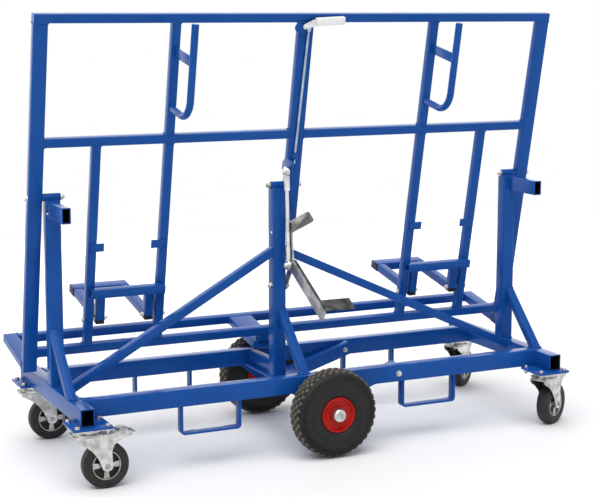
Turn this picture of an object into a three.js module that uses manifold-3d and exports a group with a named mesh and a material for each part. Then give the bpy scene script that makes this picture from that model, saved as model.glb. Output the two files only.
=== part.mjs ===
// Sheet goods cart: a six-wheeled trolley whose leaning panel frame tips about a hinge on three posts.
// Millimetres, +Z up, X along the cart, -Y towards the operator, origin on the floor under the middle.
import * as THREE from "three";
import { mergeVertices } from "three/addons/utils/BufferGeometryUtils.js";
import Module from "manifold-3d";

const wasm = await Module();
wasm.setup();

// Driving dimensions of the chassis
const GAP = 0.3;
const RAIL_SPACING = 388;
const RAIL_WIDTH = 40;
const RAIL_HEIGHT = 50;
const RAIL_BOTTOM = 183;
const RAIL_TOP = RAIL_BOTTOM + RAIL_HEIGHT;
const RAIL_MID = RAIL_BOTTOM + RAIL_HEIGHT / 2;
const CROSS_X = 751;
const CROSS_LENGTH = 602;
const CROSS_INNER = CROSS_X - RAIL_WIDTH / 2;
const CENTRE_BEAM_X = -33;
const CENTRE_BEAM_WIDTH = 110;
const CENTRE_BEAM_THICK = 6;
const CENTRE_FOOT = RAIL_BOTTOM + CENTRE_BEAM_THICK;
const WALL = 3;
const THIN_WALL = 2.5;
const CORNER = 2;
const SMALL = 25;

// Driving dimensions of the posts and the hinge
const HINGE_Y = -8;
const HINGE_Z = 771;
const LEAN = THREE.MathUtils.degToRad(11.7);
const POST = 40;
const POST_FRONT = HINGE_Y - POST / 2;
const CENTRE_POST_X = -60;
const POST_TOP = HINGE_Z - 7;
const SLEEVE_RADIUS = 11;
const SLEEVE_PROUD = 4;
const HINGE_BOLT_RADIUS = 6;
const BOLT_CLEARANCE = 0.3;
const BRACE_REACH = 150;
const SIDE_OFFSET = (POST - SMALL) / 2;
const BITE = 1.5;
const SOCKET_HEIGHT = 44;
const SOCKET_MID = 738;
const SOCKET_FRONT = -172;
const DIAGONAL_TOP = [-15, 574];
const DIAGONAL_FOOT = [-48, 222];

// Driving dimensions of the tipping frame, along it (up from the hinge) and across it (towards the load)
const FRAME_HALF = 820;
const UPRIGHT_WIDTH = 40;
const UPRIGHT_X = FRAME_HALF - UPRIGHT_WIDTH / 2;
const CENTRE_UPRIGHT_X = -14.5;
const CENTRE_UPRIGHT_WIDTH = 45;
const CENTRE_UPRIGHT_FOOT = -113;
const TOP_RAIL = 504.5;
const MID_RAIL = 158;
const BOTTOM_RAIL = -469;
const UPRIGHT_FOOT = -525;
const INNER_X = 413;
const OUTER_X = 629;
const LEDGE = -511;
const LEDGE_BACK = 201;
const LEDGE_CENTRE_WIDTH = 76;
const LEDGE_CENTRE_X = -61;
const HOOK_REACH = 145;
const HOOK_FOOT = 248;
const HOOK_TOP = 518;
const HOOK_BEND = 60;
const HOOK_RADIUS = 10.5;
const HOOK_STRUT = 411;

// Driving dimensions of the fold-out shelf brackets
const SHELF_PIVOT = -380;
const SHELF_FRONT_TUBE = -291;
const SHELF_LEG_OFFSET = 74.5;
const SHELF_BACK = 228;
const SHELF_BACK_DEPTH = 40;
const SHELF_FOOT = -394;
const SHELF_BOLT_RADIUS = 5;
const LUG_MID = -155;
const LUG_LENGTH = 40;
const LUG_LAP = 7;
const LUG_HEIGHT = 24;
const LUG_THICK = 5;

// Driving dimensions of the wheels and casters
const WHEEL_Y = 268;
const WHEEL_RADIUS = 130;
const WHEEL_WIDTH = 84;
const RIM_RADIUS = 52;
const AXLE_RADIUS = 10;
const CARRIER_PIVOT_X = 247;
const CARRIER_Y = 154;
const CARRIER_BOLT_RADIUS = 7;
const WEB_THICK = 8;
const CASTER_X = 740;
const CASTER_Y = 264;
const PLATE = 112;
const PLATE_THICK = 6;
const PLATE_CORNER = 8;
const PLATE_BOLT_SPREAD = 42;
const CASTER_RADIUS = 65;
const CASTER_WIDTH = 40;
const CASTER_TRAIL = 46;
const CASTER_HEADINGS = { front: THREE.MathUtils.degToRad(28), rear: THREE.MathUtils.degToRad(36) };
const CHEEK_FRONT = -49;
const CHEEK_ROUND = 16;
const CHEEK_WAIST = [14, 59];
const CHEEK_BACK = 84;
const BRAKED_CHEEK_BACK = 118;
const HEAD_HEIGHT = 22;
const BRAKE_WIDTH = 44;
const LOOP_INNER_X = 267.5;
const LOOP_OUTER_X = 446;
const LOOP_DROP = 84;
const LOOP_BAR = 30;
const LOOP_THICK = 6;
const LOOP_BEND = 12;

// Driving dimensions of the foot pedal, its link and the hand lever
const PEDAL_X = -35;
const PEDAL_THICK = 6;
const PEDAL_FULCRUM = [-12, 468];
const PEDAL_EYE = [-60, 535];
const PEDAL_ROOT = [-66, 534];
const PEDAL_TOE = [-271, 421];
const PEDAL_TREAD = [-268, 448];
const PEDAL_UPPER_END = [-50, 662];
const PEDAL_UPPER_TREAD = [-62, 650];
const PEDAL_ARM = 22;
const PEDAL_WIDE_ARM = 42;
const PEDAL_WIDE_THICK = 10;
const TREAD_WIDTH = 96;
const TREAD_DEPTH = 44;
const TREAD_THICK = 6;
const TREAD_SLOPE = THREE.MathUtils.degToRad(32);
const UPPER_TREAD_WIDTH = 72;
const UPPER_TREAD_DEPTH = 34;
const UPPER_TREAD_RISE = THREE.MathUtils.degToRad(24);
const UPPER_TREAD_SLOPE = THREE.MathUtils.degToRad(65);
const LINK_X = -47;
const LINK_TOP_ALONG = 50;
const LINK_TOP_ACROSS = -30;
const LEVER_PIVOT = [-28, 483];
const LEVER_BOSS = [-39, 477];
const LEVER_BOSS_RADIUS = 14.5;
const LEVER_END_X = 2;
const LEVER_Y = -27;
const GRIP_LENGTH = 89;
const LATCH_ROD_FOOT = new THREE.Vector3(-19.5, -18, 70);
const LATCH_ROD_TOP = new THREE.Vector3(-10.5, -18, 471);

const X = new THREE.Vector3(1, 0, 0);
const Y = new THREE.Vector3(0, 1, 0);
const Z = new THREE.Vector3(0, 0, 1);

function finish(color, roughness, metalness) {
  return { color, roughness, metalness };
}
const BLUE = finish(0x1d4ea3, 0.35, 0.1);
const ZINC = finish(0xc3c5c4, 0.35, 0.85);
const CHROME = finish(0xd6d6d2, 0.2, 0.95);
const RUBBER = finish(0x232323, 0.85, 0.0);
const RED = finish(0xc5221b, 0.4, 0.1);
const CASTER = finish(0x3a3a3a, 0.6, 0.2);
const GRIP = finish(0xd9dcdd, 0.5, 0.1);

const cart = new THREE.Group();
const frame = new THREE.Group();
frame.position.set(0, HINGE_Y, HINGE_Z);
frame.rotation.x = LEAN;
cart.add(frame);

// Adds one named piece to a group.
function part(parent, name, shape, look) {
  const mesh = new THREE.Mesh(geometryOf(solid(shape)), new THREE.MeshStandardMaterial(look));
  mesh.name = name;
  parent.add(mesh);
}

// Turns a closed geometry into a solid, and a solid back into a geometry.
function welded(geometry) {
  const bare = geometry.index ? geometry.toNonIndexed() : geometry;
  bare.deleteAttribute("normal");
  bare.deleteAttribute("uv");
  return mergeVertices(bare, 1e-4);
}
function solid(shape) {
  if (!shape.isBufferGeometry) return shape;
  const vertProperties = shape.attributes.position.array;
  const triVerts = new Uint32Array(shape.index.array);
  return new wasm.Manifold(new wasm.Mesh({ numProp: 3, vertProperties, triVerts }));
}
function geometryOf(made) {
  const mesh = made.getMesh();
  const positions = new Float32Array(mesh.numVert * 3);
  for (let i = 0; i < mesh.numVert; i++) {
    positions.set(mesh.vertProperties.subarray(i * mesh.numProp, i * mesh.numProp + 3), i * 3);
  }
  const geometry = new THREE.BufferGeometry();
  geometry.setAttribute("position", new THREE.BufferAttribute(positions, 3));
  geometry.setIndex(new THREE.BufferAttribute(mesh.triVerts, 1));
  return geometry;
}
function join(...shapes) {
  return shapes.map(solid).reduce((a, b) => a.add(b));
}
function cut(shape, ...tools) {
  return tools.map(solid).reduce((a, b) => a.subtract(b), solid(shape));
}
function keepInside(shape, limits) {
  return solid(shape).intersect(solid(limits));
}

// A rectangle with its corners taken off, as a shape or as a hole.
function easedRectangle(width, height, ease, path = new THREE.Shape()) {
  const w = width / 2;
  const h = height / 2;
  const corners = [[w, h - ease], [w - ease, h], [ease - w, h], [-w, h - ease],
    [-w, ease - h], [ease - w, -h], [w - ease, -h], [w, ease - h]];
  const square = [[w, h], [-w, h], [-w, -h], [w, -h]];
  return path.setFromPoints((ease ? corners : square).map(([x, y]) => new THREE.Vector2(x, y)));
}

// A straight member from one point to another: width lies along side, and a wall makes it a tube.
function member(from, to, side, width, height, { wall = 0, ease = CORNER } = {}) {
  const start = new THREE.Vector3(...from);
  const run = new THREE.Vector3(...to).sub(start);
  const shape = easedRectangle(width, height, ease);
  if (wall) {
    shape.holes.push(easedRectangle(width - 2 * wall, height - 2 * wall, 0, new THREE.Path()));
  }
  const geometry = welded(new THREE.ExtrudeGeometry(shape, { depth: run.length(), bevelEnabled: false }));
  const along = run.clone().normalize();
  const across = along.clone().cross(side).normalize();
  const basis = new THREE.Matrix4().makeBasis(side, across, along);
  return geometry.applyMatrix4(basis.setPosition(start));
}

// A flat shape from a list of corners, and a sheet of it laid in XY and thickened along Z.
function outline(corners) {
  return new THREE.Shape(corners.map(([x, y]) => new THREE.Vector2(x, y)));
}
function sheet(shape, depth, curveSegments = 1) {
  return welded(new THREE.ExtrudeGeometry(shape, { depth, bevelEnabled: false, curveSegments }));
}

// A plain box given by its lowest and highest corners.
function block(low, high) {
  const size = high.map((v, i) => v - low[i]);
  const geometry = welded(new THREE.BoxGeometry(...size));
  return geometry.translate(...low.map((v, i) => v + size[i] / 2));
}

// A round or many-sided bar from one point to another.
function rod(from, to, radius, sides = 12) {
  const start = new THREE.Vector3(...from);
  const run = new THREE.Vector3(...to).sub(start);
  const geometry = welded(new THREE.CylinderGeometry(radius, radius, run.length(), sides));
  const turn = new THREE.Quaternion().setFromUnitVectors(Y, run.clone().normalize());
  geometry.applyQuaternion(turn);
  const middle = start.addScaledVector(run, 0.5);
  return geometry.translate(middle.x, middle.y, middle.z);
}

// A hex-headed bolt along X: the head is outside headX, the nut outside nutX.
function crossBolt(headX, nutX, y, z, radius) {
  const away = Math.sign(headX - nutX);
  const head = radius * 1.3;
  const spread = radius * 1.85;
  const shank = rod([headX, y, z], [nutX - away * (head + radius), y, z], radius);
  const top = rod([headX + away * GAP, y, z], [headX + away * (GAP + head), y, z], spread, 6);
  const nut = rod([nutX - away * GAP, y, z], [nutX - away * (GAP + head), y, z], spread, 6);
  return join(shank, top, nut, rod([headX, y, z], [headX + away * (GAP + 1), y, z], radius));
}

function chassis() {
  const railEnd = CROSS_INNER - GAP;
  const tube = { wall: WALL };
  for (const [name, side] of [["front_rail", -1], ["rear_rail", 1]]) {
    const y = (side * RAIL_SPACING) / 2;
    const rail = member([-railEnd, y, RAIL_MID], [railEnd, y, RAIL_MID], Y, RAIL_WIDTH, RAIL_HEIGHT, tube);
    const bore = CARRIER_BOLT_RADIUS + BOLT_CLEARANCE;
    const through = [y - RAIL_WIDTH, y + RAIL_WIDTH].map((end) => [CARRIER_PIVOT_X, end, RAIL_MID]);
    part(cart, name, cut(rail, rod(...through, bore)), BLUE);
  }

  const half = CROSS_LENGTH / 2;
  for (const [name, side] of [["left_end_beam", -1], ["right_end_beam", 1]]) {
    const x = side * CROSS_X;
    const beam = member([x, -half, RAIL_MID], [x, half, RAIL_MID], X, RAIL_WIDTH, RAIL_HEIGHT, tube);
    const plates = [-1, 1].map((end) => casterPlate(side * CASTER_X, end * CASTER_Y));
    part(cart, name, join(beam, ...plates), BLUE);
  }
  part(cart, "centre_beam", centreBeam(), BLUE);

  for (const [row, side] of [["front", -1], ["rear", 1]]) {
    for (const [hand, end] of [["left", -1], ["right", 1]]) {
      part(cart, `${row}_${hand}_fork_loop`, forkLoop(end, (side * RAIL_SPACING) / 2), BLUE);
    }
  }
}

// The flat beam between the rails that the middle post stands on, with a stay behind the post.
function centreBeam() {
  const end = RAIL_SPACING / 2 - RAIL_WIDTH / 2 - GAP;
  const mid = RAIL_BOTTOM + CENTRE_BEAM_THICK / 2;
  const beam = member([CENTRE_BEAM_X, -end, mid], [CENTRE_BEAM_X, end, mid], X,
    CENTRE_BEAM_WIDTH, CENTRE_BEAM_THICK, { ease: 1 });
  const stayFoot = CENTRE_FOOT - BITE;
  const stayMid = (stayFoot + RAIL_TOP) / 2;
  const behind = HINGE_Y + POST / 2 + GAP;
  const stay = member([CENTRE_POST_X, behind, stayMid], [CENTRE_POST_X, end, stayMid], X,
    SMALL, RAIL_TOP - stayFoot);
  return join(beam, stay);
}

// The plate under an end beam that a caster bolts to, its weld to the beam and its four bolt heads.
function casterPlate(x, y) {
  const top = RAIL_BOTTOM - GAP;
  const plate = member([x, y, top - PLATE_THICK], [x, y, top], X, PLATE, PLATE, { ease: PLATE_CORNER });
  const beamX = Math.sign(x) * CROSS_X;
  const weldX = RAIL_WIDTH / 2 - WALL;
  const weldLow = Math.max(y - PLATE / 2, -CROSS_LENGTH / 2) + CORNER;
  const weldHigh = Math.min(y + PLATE / 2, CROSS_LENGTH / 2) - CORNER;
  const weld = block([beamX - weldX, weldLow, top - 1], [beamX + weldX, weldHigh, RAIL_BOTTOM + 1]);
  const heads = [];
  for (const sx of [-1, 1]) {
    for (const sy of [-1, 1]) {
      const place = [x + sx * PLATE_BOLT_SPREAD, y + sy * PLATE_BOLT_SPREAD];
      heads.push(rod([...place, top - 2], [...place, top + 7], 7, 6));
    }
  }
  return join(plate, weld, ...heads);
}

// A flat bar bent into a U under a rail, for a lift truck's fork.
function forkLoop(end, y) {
  const top = RAIL_BOTTOM - GAP;
  const bottom = top - LOOP_DROP;
  const half = (LOOP_OUTER_X - LOOP_INNER_X + LOOP_THICK) / 2;
  const bendX = half - LOOP_BEND;
  const bendZ = bottom + LOOP_BEND;
  const down = 1.5 * Math.PI;
  const shape = new THREE.Shape();
  shape.moveTo(-half, top);
  shape.lineTo(-half, bendZ);
  shape.absarc(-bendX, bendZ, LOOP_BEND, Math.PI, down);
  shape.lineTo(bendX, bottom);
  shape.absarc(bendX, bendZ, LOOP_BEND, down, 2 * Math.PI);
  shape.lineTo(half, top);
  shape.lineTo(half - LOOP_THICK, top);
  shape.absarc(bendX, bendZ, LOOP_BEND - LOOP_THICK, 0, -Math.PI / 2, true);
  shape.absarc(-bendX, bendZ, LOOP_BEND - LOOP_THICK, down, Math.PI, true);
  shape.lineTo(-half + LOOP_THICK, top);
  const bar = sheet(shape, LOOP_BAR, 2).rotateX(Math.PI / 2);
  return bar.translate((end * (LOOP_INNER_X + LOOP_OUTER_X)) / 2, y + LOOP_BAR / 2, 0);
}

// A post with its forward brace, the hinge sleeve that reaches the frame at hingeSide and, on the outer
// posts, a handle socket. Brace and socket lie flush with the post's hinge side.
function post(name, x, foot, hingeSide, outer) {
  const upright = member([x, HINGE_Y, foot + GAP], [x, HINGE_Y, POST_TOP], X, POST, POST, { wall: WALL });
  const cap = member([x, HINGE_Y, POST_TOP - WALL], [x, HINGE_Y, POST_TOP], X, POST, POST);
  const away = Math.sign(hingeSide - x);
  const sleeveStart = [x - away * (POST / 2 + SLEEVE_PROUD), HINGE_Y, HINGE_Z];
  const sleeve = rod(sleeveStart, [hingeSide - away * GAP, HINGE_Y, HINGE_Z], SLEEVE_RADIUS, 16);
  const flush = x + away * SIDE_OFFSET;
  const over = 40;
  const slope = member([flush, POST_FRONT + over, RAIL_TOP + BRACE_REACH + over],
    [flush, POST_FRONT - BRACE_REACH - over, RAIL_TOP - over], X, SMALL, SMALL);
  const room = block([x - POST, -HINGE_Z, RAIL_TOP + GAP], [x + POST, POST_FRONT + BITE, HINGE_Z]);
  const pieces = [upright, sleeve, cap, keepInside(slope, room)];
  const bolts = [[HINGE_Y, HINGE_Z]];
  if (outer) {
    pieces.push(member([flush, POST_FRONT + BITE, SOCKET_MID], [flush, SOCKET_FRONT, SOCKET_MID], X,
      SMALL, SOCKET_HEIGHT, { wall: THIN_WALL }));
  } else {
    bolts.push(PEDAL_FULCRUM);
  }
  const bores = bolts.map(([y, z]) =>
    rod([x - 2 * POST, y, z], [x + 2 * POST, y, z], HINGE_BOLT_RADIUS + BOLT_CLEARANCE));
  part(cart, name, cut(join(...pieces), ...bores), BLUE);
}

function postsAndDiagonals() {
  const uprightInner = UPRIGHT_X - UPRIGHT_WIDTH / 2;
  const centreLeft = CENTRE_UPRIGHT_X - CENTRE_UPRIGHT_WIDTH / 2;
  post("left_post", -CROSS_X, RAIL_TOP, -uprightInner, true);
  post("right_post", CROSS_X, RAIL_TOP, uprightInner, true);
  post("centre_post", CENTRE_POST_X, CENTRE_FOOT, centreLeft, false);

  for (const [name, side] of [["left_diagonal", -1], ["right_diagonal", 1]]) {
    const top = CENTRE_POST_X + side * (POST / 2 + GAP);
    const foot = side * (CROSS_INNER - GAP);
    const from = new THREE.Vector3(top, ...DIAGONAL_TOP);
    const to = new THREE.Vector3(foot, ...DIAGONAL_FOOT);
    const over = to.clone().sub(from).multiplyScalar(0.05);
    const flat = new THREE.Vector3(-over.y, over.x, 0).normalize();
    const ends = [from.sub(over).toArray(), to.add(over).toArray()];
    const tube = member(...ends, flat, SMALL, SMALL, { wall: THIN_WALL });
    const room = block([Math.min(top, foot), -HINGE_Z, 0], [Math.max(top, foot), HINGE_Z, HINGE_Z]);
    part(cart, name, keepInside(tube, room), BLUE);
  }

  const sleeveInner = CROSS_INNER - SLEEVE_PROUD;
  const postSide = CENTRE_POST_X - POST / 2;
  const hinges = [
    ["left_hinge_bolt", -FRAME_HALF, -sleeveInner],
    ["right_hinge_bolt", FRAME_HALF, sleeveInner],
    ["centre_hinge_bolt", centreLeft + CENTRE_UPRIGHT_WIDTH, postSide - SLEEVE_PROUD],
  ];
  for (const [name, headX, nutX] of hinges) {
    part(cart, name, crossBolt(headX, nutX, HINGE_Y, HINGE_Z, HINGE_BOLT_RADIUS), ZINC);
  }
  const pedalSide = PEDAL_X + PEDAL_THICK / 2;
  part(cart, "pedal_pivot_bolt", crossBolt(pedalSide, postSide, ...PEDAL_FULCRUM, HINGE_BOLT_RADIUS), ZINC);
}

// The arms that carry the middle axle, bolted inside the rails, with a web under each rail.
function wheelCarrier() {
  const axleEnd = WHEEL_Y + WHEEL_WIDTH / 2 + 4;
  const pieces = [rod([0, -axleEnd, WHEEL_RADIUS], [0, axleEnd, WHEEL_RADIUS], AXLE_RADIUS)];
  const railOuter = RAIL_SPACING / 2 + RAIL_WIDTH / 2 + GAP;
  const underRail = RAIL_BOTTOM - GAP;
  const web = outline([[-100, underRail], [-20, WHEEL_RADIUS - 14], [20, WHEEL_RADIUS], [-16, underRail]]);
  for (const side of [-1, 1]) {
    const y = side * CARRIER_Y;
    pieces.push(member([CARRIER_PIVOT_X + 20, y, RAIL_MID + 5], [-16, y, WHEEL_RADIUS - 4], Y, 30, 40));
    const plate = sheet(web, WEB_THICK).rotateX(Math.PI / 2);
    pieces.push(plate.translate(0, (side * RAIL_SPACING) / 2 + WEB_THICK / 2, 0));
    const bolt = (from, to, radius, sides) =>
      rod([CARRIER_PIVOT_X, side * from, RAIL_MID], [CARRIER_PIVOT_X, side * to, RAIL_MID], radius, sides);
    pieces.push(bolt(CARRIER_Y, railOuter + 1, CARRIER_BOLT_RADIUS));
    pieces.push(bolt(railOuter, railOuter + 8, 9, 6));
    pieces.push(bolt(CARRIER_Y - 24, CARRIER_Y, 11, 6));
  }
  part(cart, "wheel_carrier", join(...pieces), BLUE);
}

// A body of revolution about Y whose flats lie on the stated radii, with one flat straight down.
function turned(profile, sides) {
  const swell = 1 / Math.cos(Math.PI / sides);
  const points = profile.map(([radius, across]) => new THREE.Vector2(radius * swell, across));
  points.push(points[0].clone());
  const geometry = welded(new THREE.LatheGeometry(points, sides));
  return geometry.rotateY(Math.PI / sides);
}

function middleWheels() {
  const half = WHEEL_WIDTH / 2;
  const bore = AXLE_RADIUS + BOLT_CLEARANCE;
  const seat = RIM_RADIUS + GAP;
  const tyre = [[seat, -34], [80, -half], [106, -half + 2], [121, -half + 8], [WHEEL_RADIUS, -26],
    [WHEEL_RADIUS, 26], [121, half - 8], [106, half - 2], [80, half], [seat, 34]];
  const rim = [[bore, -34], [21, -34], [21, -20], [46, -20], [46, -36], [RIM_RADIUS, -36],
    [RIM_RADIUS, 36], [46, 36], [46, 20], [21, 20], [21, 34], [bore, 34]];
  for (const [name, side] of [["front", -1], ["rear", 1]]) {
    const lift = [0, side * WHEEL_Y, WHEEL_RADIUS];
    part(cart, `${name}_wheel_tyre`, turned(tyre, 24).translate(...lift), RUBBER);
    part(cart, `${name}_wheel_rim`, turned(rim, 24).translate(...lift), RED);
  }
}

// One side of a caster's fork: a wide flange above, a leg that narrows to the axle.
function cheekShape(crown, back) {
  const shape = new THREE.Shape();
  shape.moveTo(CHEEK_FRONT, crown + 2);
  shape.lineTo(CHEEK_FRONT + 4, crown - 12);
  shape.quadraticCurveTo(CHEEK_WAIST[0], crown - 37, CASTER_TRAIL - CHEEK_ROUND, CASTER_RADIUS);
  shape.absarc(CASTER_TRAIL, CASTER_RADIUS, CHEEK_ROUND, Math.PI, 2 * Math.PI);
  shape.lineTo(CHEEK_WAIST[1], crown - 50);
  shape.quadraticCurveTo(CHEEK_WAIST[1] + 2, crown - 18, back, crown - 9);
  shape.lineTo(back, crown + 2);
  return shape;
}

// One swivel caster: the fork with its head and axle, the wheel and, on the braked ones, the pedal.
function caster(name, x, y, heading, braked) {
  const group = new THREE.Group();
  group.position.set(x, y, 0);
  group.rotation.z = heading;
  cart.add(group);
  const ceiling = RAIL_BOTTOM - PLATE_THICK - GAP;
  const crown = ceiling - HEAD_HEIGHT;
  const half = CASTER_WIDTH / 2;
  const cheek = cheekShape(crown, braked ? BRAKED_CHEEK_BACK : CHEEK_BACK);
  const axle = (from, to, radius, sides = 12) =>
    rod([CASTER_TRAIL, from, CASTER_RADIUS], [CASTER_TRAIL, to, CASTER_RADIUS], radius, sides);
  const pieces = [
    rod([0, 0, ceiling - 4], [0, 0, ceiling], 46, 16),
    rod([0, 0, crown], [0, 0, ceiling - 2], 34, 16),
    member([CHEEK_FRONT, 0, crown], [CHEEK_BACK - 12, 0, crown], Y, CASTER_WIDTH + 12, 4, { ease: 1 }),
    axle(-half - 10, half + 10, 6),
  ];
  for (const side of [-1, 1]) {
    const leg = sheet(cheek, 3, 3).rotateX(Math.PI / 2);
    pieces.push(leg.translate(0, side * (half + 4.5) + 1.5, 0));
    pieces.push(axle(side * (half + 6), side * (half + 11), 9, 6));
  }
  part(group, `${name}_caster_fork`, join(...pieces), ZINC);

  const bore = 6 + BOLT_CLEARANCE;
  const wheel = [[bore, -half - 2], [14, -half - 2], [14, -half + 6], [38, -half + 6], [42, -half],
    [57, -half + 1], [CASTER_RADIUS, -half + 6], [CASTER_RADIUS, half - 6], [57, half - 1],
    [42, half], [38, half - 6], [14, half - 6], [14, half + 2], [bore, half + 2]];
  const tyre = turned(wheel, 20).translate(CASTER_TRAIL, 0, CASTER_RADIUS);
  part(group, `${name}_caster_wheel`, tyre, CASTER);

  if (braked) {
    const arm = member([74, 0, crown + 8], [104, 0, crown + 4], Y, BRAKE_WIDTH, 4, { ease: 1 });
    const tread = member([101, 0, crown + 6], [130, 0, crown - 5], Y, BRAKE_WIDTH, 4, { ease: 1 });
    part(group, `${name}_brake_pedal`, join(arm, tread), ZINC);
  }
}

function casters() {
  for (const [row, side] of [["front", -1], ["rear", 1]]) {
    caster(`${row}_left`, -CASTER_X, side * CASTER_Y, 0, true);
    caster(`${row}_right`, CASTER_X, side * CASTER_Y, CASTER_HEADINGS[row], false);
  }
}

// The tubes of the tipping frame, in the frame's own axes: Y across it to the load, Z along it.
function tippingFrame() {
  const small = { wall: THIN_WALL };
  const half = SMALL / 2;
  const boltBore = HINGE_BOLT_RADIUS + BOLT_CLEARANCE;
  const uprightTop = TOP_RAIL - half - GAP;
  for (const [name, side] of [["left_upright", -1], ["right_upright", 1]]) {
    const x = side * UPRIGHT_X;
    const tube = member([x, 0, UPRIGHT_FOOT], [x, 0, uprightTop], X, UPRIGHT_WIDTH, SMALL, small);
    part(frame, name, cut(tube, rod([x - UPRIGHT_WIDTH, 0, 0], [x + UPRIGHT_WIDTH, 0, 0], boltBore)), BLUE);
  }
  part(frame, "centre_upright", centreUpright(uprightTop, boltBore), BLUE);

  const edge = UPRIGHT_X - UPRIGHT_WIDTH / 2 - GAP;
  const centreHalf = CENTRE_UPRIGHT_WIDTH / 2 + GAP;
  const spans = [
    ["top_rail", -FRAME_HALF, FRAME_HALF, 0, TOP_RAIL],
    ["left_mid_rail", -edge, CENTRE_UPRIGHT_X - centreHalf, 0, MID_RAIL],
    ["right_mid_rail", CENTRE_UPRIGHT_X + centreHalf, edge, 0, MID_RAIL],
    ["bottom_rail", -edge, edge, 0, BOTTOM_RAIL],
    ["ledge_rail", -edge, edge, LEDGE_BACK, LEDGE],
  ];
  for (const [name, from, to, across, along] of spans) {
    part(frame, name, member([from, across, along], [to, across, along], Y, SMALL, SMALL, small), BLUE);
  }

  for (const [word, side] of [["left", -1], ["right", 1]]) {
    const inner = side * INNER_X;
    const upper = member([inner, 0, MID_RAIL + half + GAP], [inner, 0, uprightTop], X, SMALL, SMALL, small);
    part(frame, `${word}_upper_bar`, upper, BLUE);
    part(frame, `${word}_inner_bar`, lowerBar(inner, side), BLUE);
    part(frame, `${word}_outer_bar`, lowerBar(side * OUTER_X, -side), BLUE);
    const x = side * UPRIGHT_X;
    const back = LEDGE_BACK + half;
    const end = member([x, half + GAP, LEDGE], [x, back, LEDGE], X, UPRIGHT_WIDTH, SMALL, small);
    part(frame, `${word}_ledge_end`, end, BLUE);
    part(frame, `${word}_hook`, hook(inner), BLUE);
  }

  const x = LEDGE_CENTRE_X;
  const arm = member([x, -half, LEDGE], [x, LEDGE_BACK - half - GAP, LEDGE], X, LEDGE_CENTRE_WIDTH, SMALL);
  const stub = block([x - 20, -half, LEDGE], [x + 20, half, BOTTOM_RAIL - half - GAP]);
  part(frame, "ledge_centre", join(arm, stub), BLUE);
}

// A short bar from the middle rail to the bottom rail, with the bore of the shelf's pivot and a stop lug
// that points towards the other bar of its pair.
function lowerBar(x, towards) {
  const half = SMALL / 2;
  const low = [x, 0, BOTTOM_RAIL + half + GAP];
  const tube = member(low, [x, 0, MID_RAIL - half - GAP], X, SMALL, SMALL, { wall: THIN_WALL });
  const left = towards > 0 ? x - LUG_LAP : x - LUG_LENGTH;
  const lug = block([left, -half - LUG_THICK, LUG_MID - LUG_HEIGHT / 2],
    [left + LUG_LENGTH, -half + 0.5, LUG_MID + LUG_HEIGHT / 2]);
  const boreRadius = SHELF_BOLT_RADIUS + BOLT_CLEARANCE;
  const bore = rod([x - SMALL, 0, SHELF_PIVOT], [x + SMALL, 0, SHELF_PIVOT], boreRadius);
  return cut(join(tube, lug), bore);
}

// The wide middle upright with the link's bracket, the latch rod's guide and the lever's pivot.
function centreUpright(top, boltBore) {
  const x = CENTRE_UPRIGHT_X;
  const half = SMALL / 2;
  const width = CENTRE_UPRIGHT_WIDTH;
  const left = x - width / 2;
  const tube = member([x, 0, CENTRE_UPRIGHT_FOOT], [x, 0, top], X, width, SMALL, { wall: THIN_WALL });
  const [pinY, pinZ] = [LINK_TOP_ACROSS, LINK_TOP_ALONG];
  const bracketShape = outline([[pinY - 12, pinZ - 12], [24, pinZ - 12], [24, pinZ + 14], [4, pinZ + 34],
    [pinY - 12, pinZ + 34]]);
  const facingX = new THREE.Matrix4().makeBasis(Y, Z, X);
  const bracket = sheet(bracketShape, 7).applyMatrix4(facingX.setPosition(left - 1, 0, 0));
  const { x: rodX, y: rodY } = LATCH_ROD_FOOT.clone().lerp(LATCH_ROD_TOP, 0.06);
  const guide = block([rodX - 9, rodY - 8, 84], [rodX + 9, -half + 1, 102]);
  const [pivotX, pivotZ] = LEVER_PIVOT;
  const [bossX, bossZ] = LEVER_BOSS;
  const seat = rod([bossX, 1 - half, bossZ], [bossX, -23, bossZ], LEVER_BOSS_RADIUS, 20);
  const pin = rod([pivotX, -20, pivotZ], [pivotX, -34, pivotZ], 4);
  const head = rod([pivotX, -31, pivotZ], [pivotX, -35, pivotZ], 8);
  const made = join(tube, bracket, guide, seat, pin, head);
  const passage = rod(LATCH_ROD_FOOT.toArray(), LATCH_ROD_TOP.toArray(), 4.9);
  return cut(made, rod([x - width, 0, 0], [x + width, 0, 0], boltBore), passage);
}

// The line that a hook's bar follows: out from its upright, round a bend and up.
class HookLine extends THREE.Curve {
  constructor(x) {
    super();
    this.x = x;
    this.out = HOOK_REACH - HOOK_BEND - SMALL / 2 - GAP;
    this.bend = (Math.PI / 2) * HOOK_BEND;
    this.rise = HOOK_TOP - HOOK_FOOT - HOOK_BEND;
  }
  getPoint(t) {
    const along = t * (this.out + this.bend + this.rise);
    const start = -SMALL / 2 - GAP;
    if (along < this.out) return new THREE.Vector3(this.x, start - along, HOOK_FOOT);
    const angle = Math.min((along - this.out) / HOOK_BEND, Math.PI / 2);
    const y = start - this.out - HOOK_BEND * Math.sin(angle);
    const z = HOOK_FOOT + HOOK_BEND * (1 - Math.cos(angle));
    return new THREE.Vector3(this.x, y, z + Math.max(along - this.out - this.bend, 0));
  }
}

function hook(x) {
  const section = new THREE.Shape();
  section.absarc(0, 0, HOOK_RADIUS, 0, 2 * Math.PI);
  const path = { extrudePath: new HookLine(x), steps: 22, curveSegments: 5 };
  const bar = welded(new THREE.ExtrudeGeometry(section, path));
  const strut = block([x - 3, -HOOK_REACH, HOOK_STRUT - 14], [x + 3, -SMALL / 2 - GAP, HOOK_STRUT + 14]);
  return join(bar, strut);
}

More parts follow.
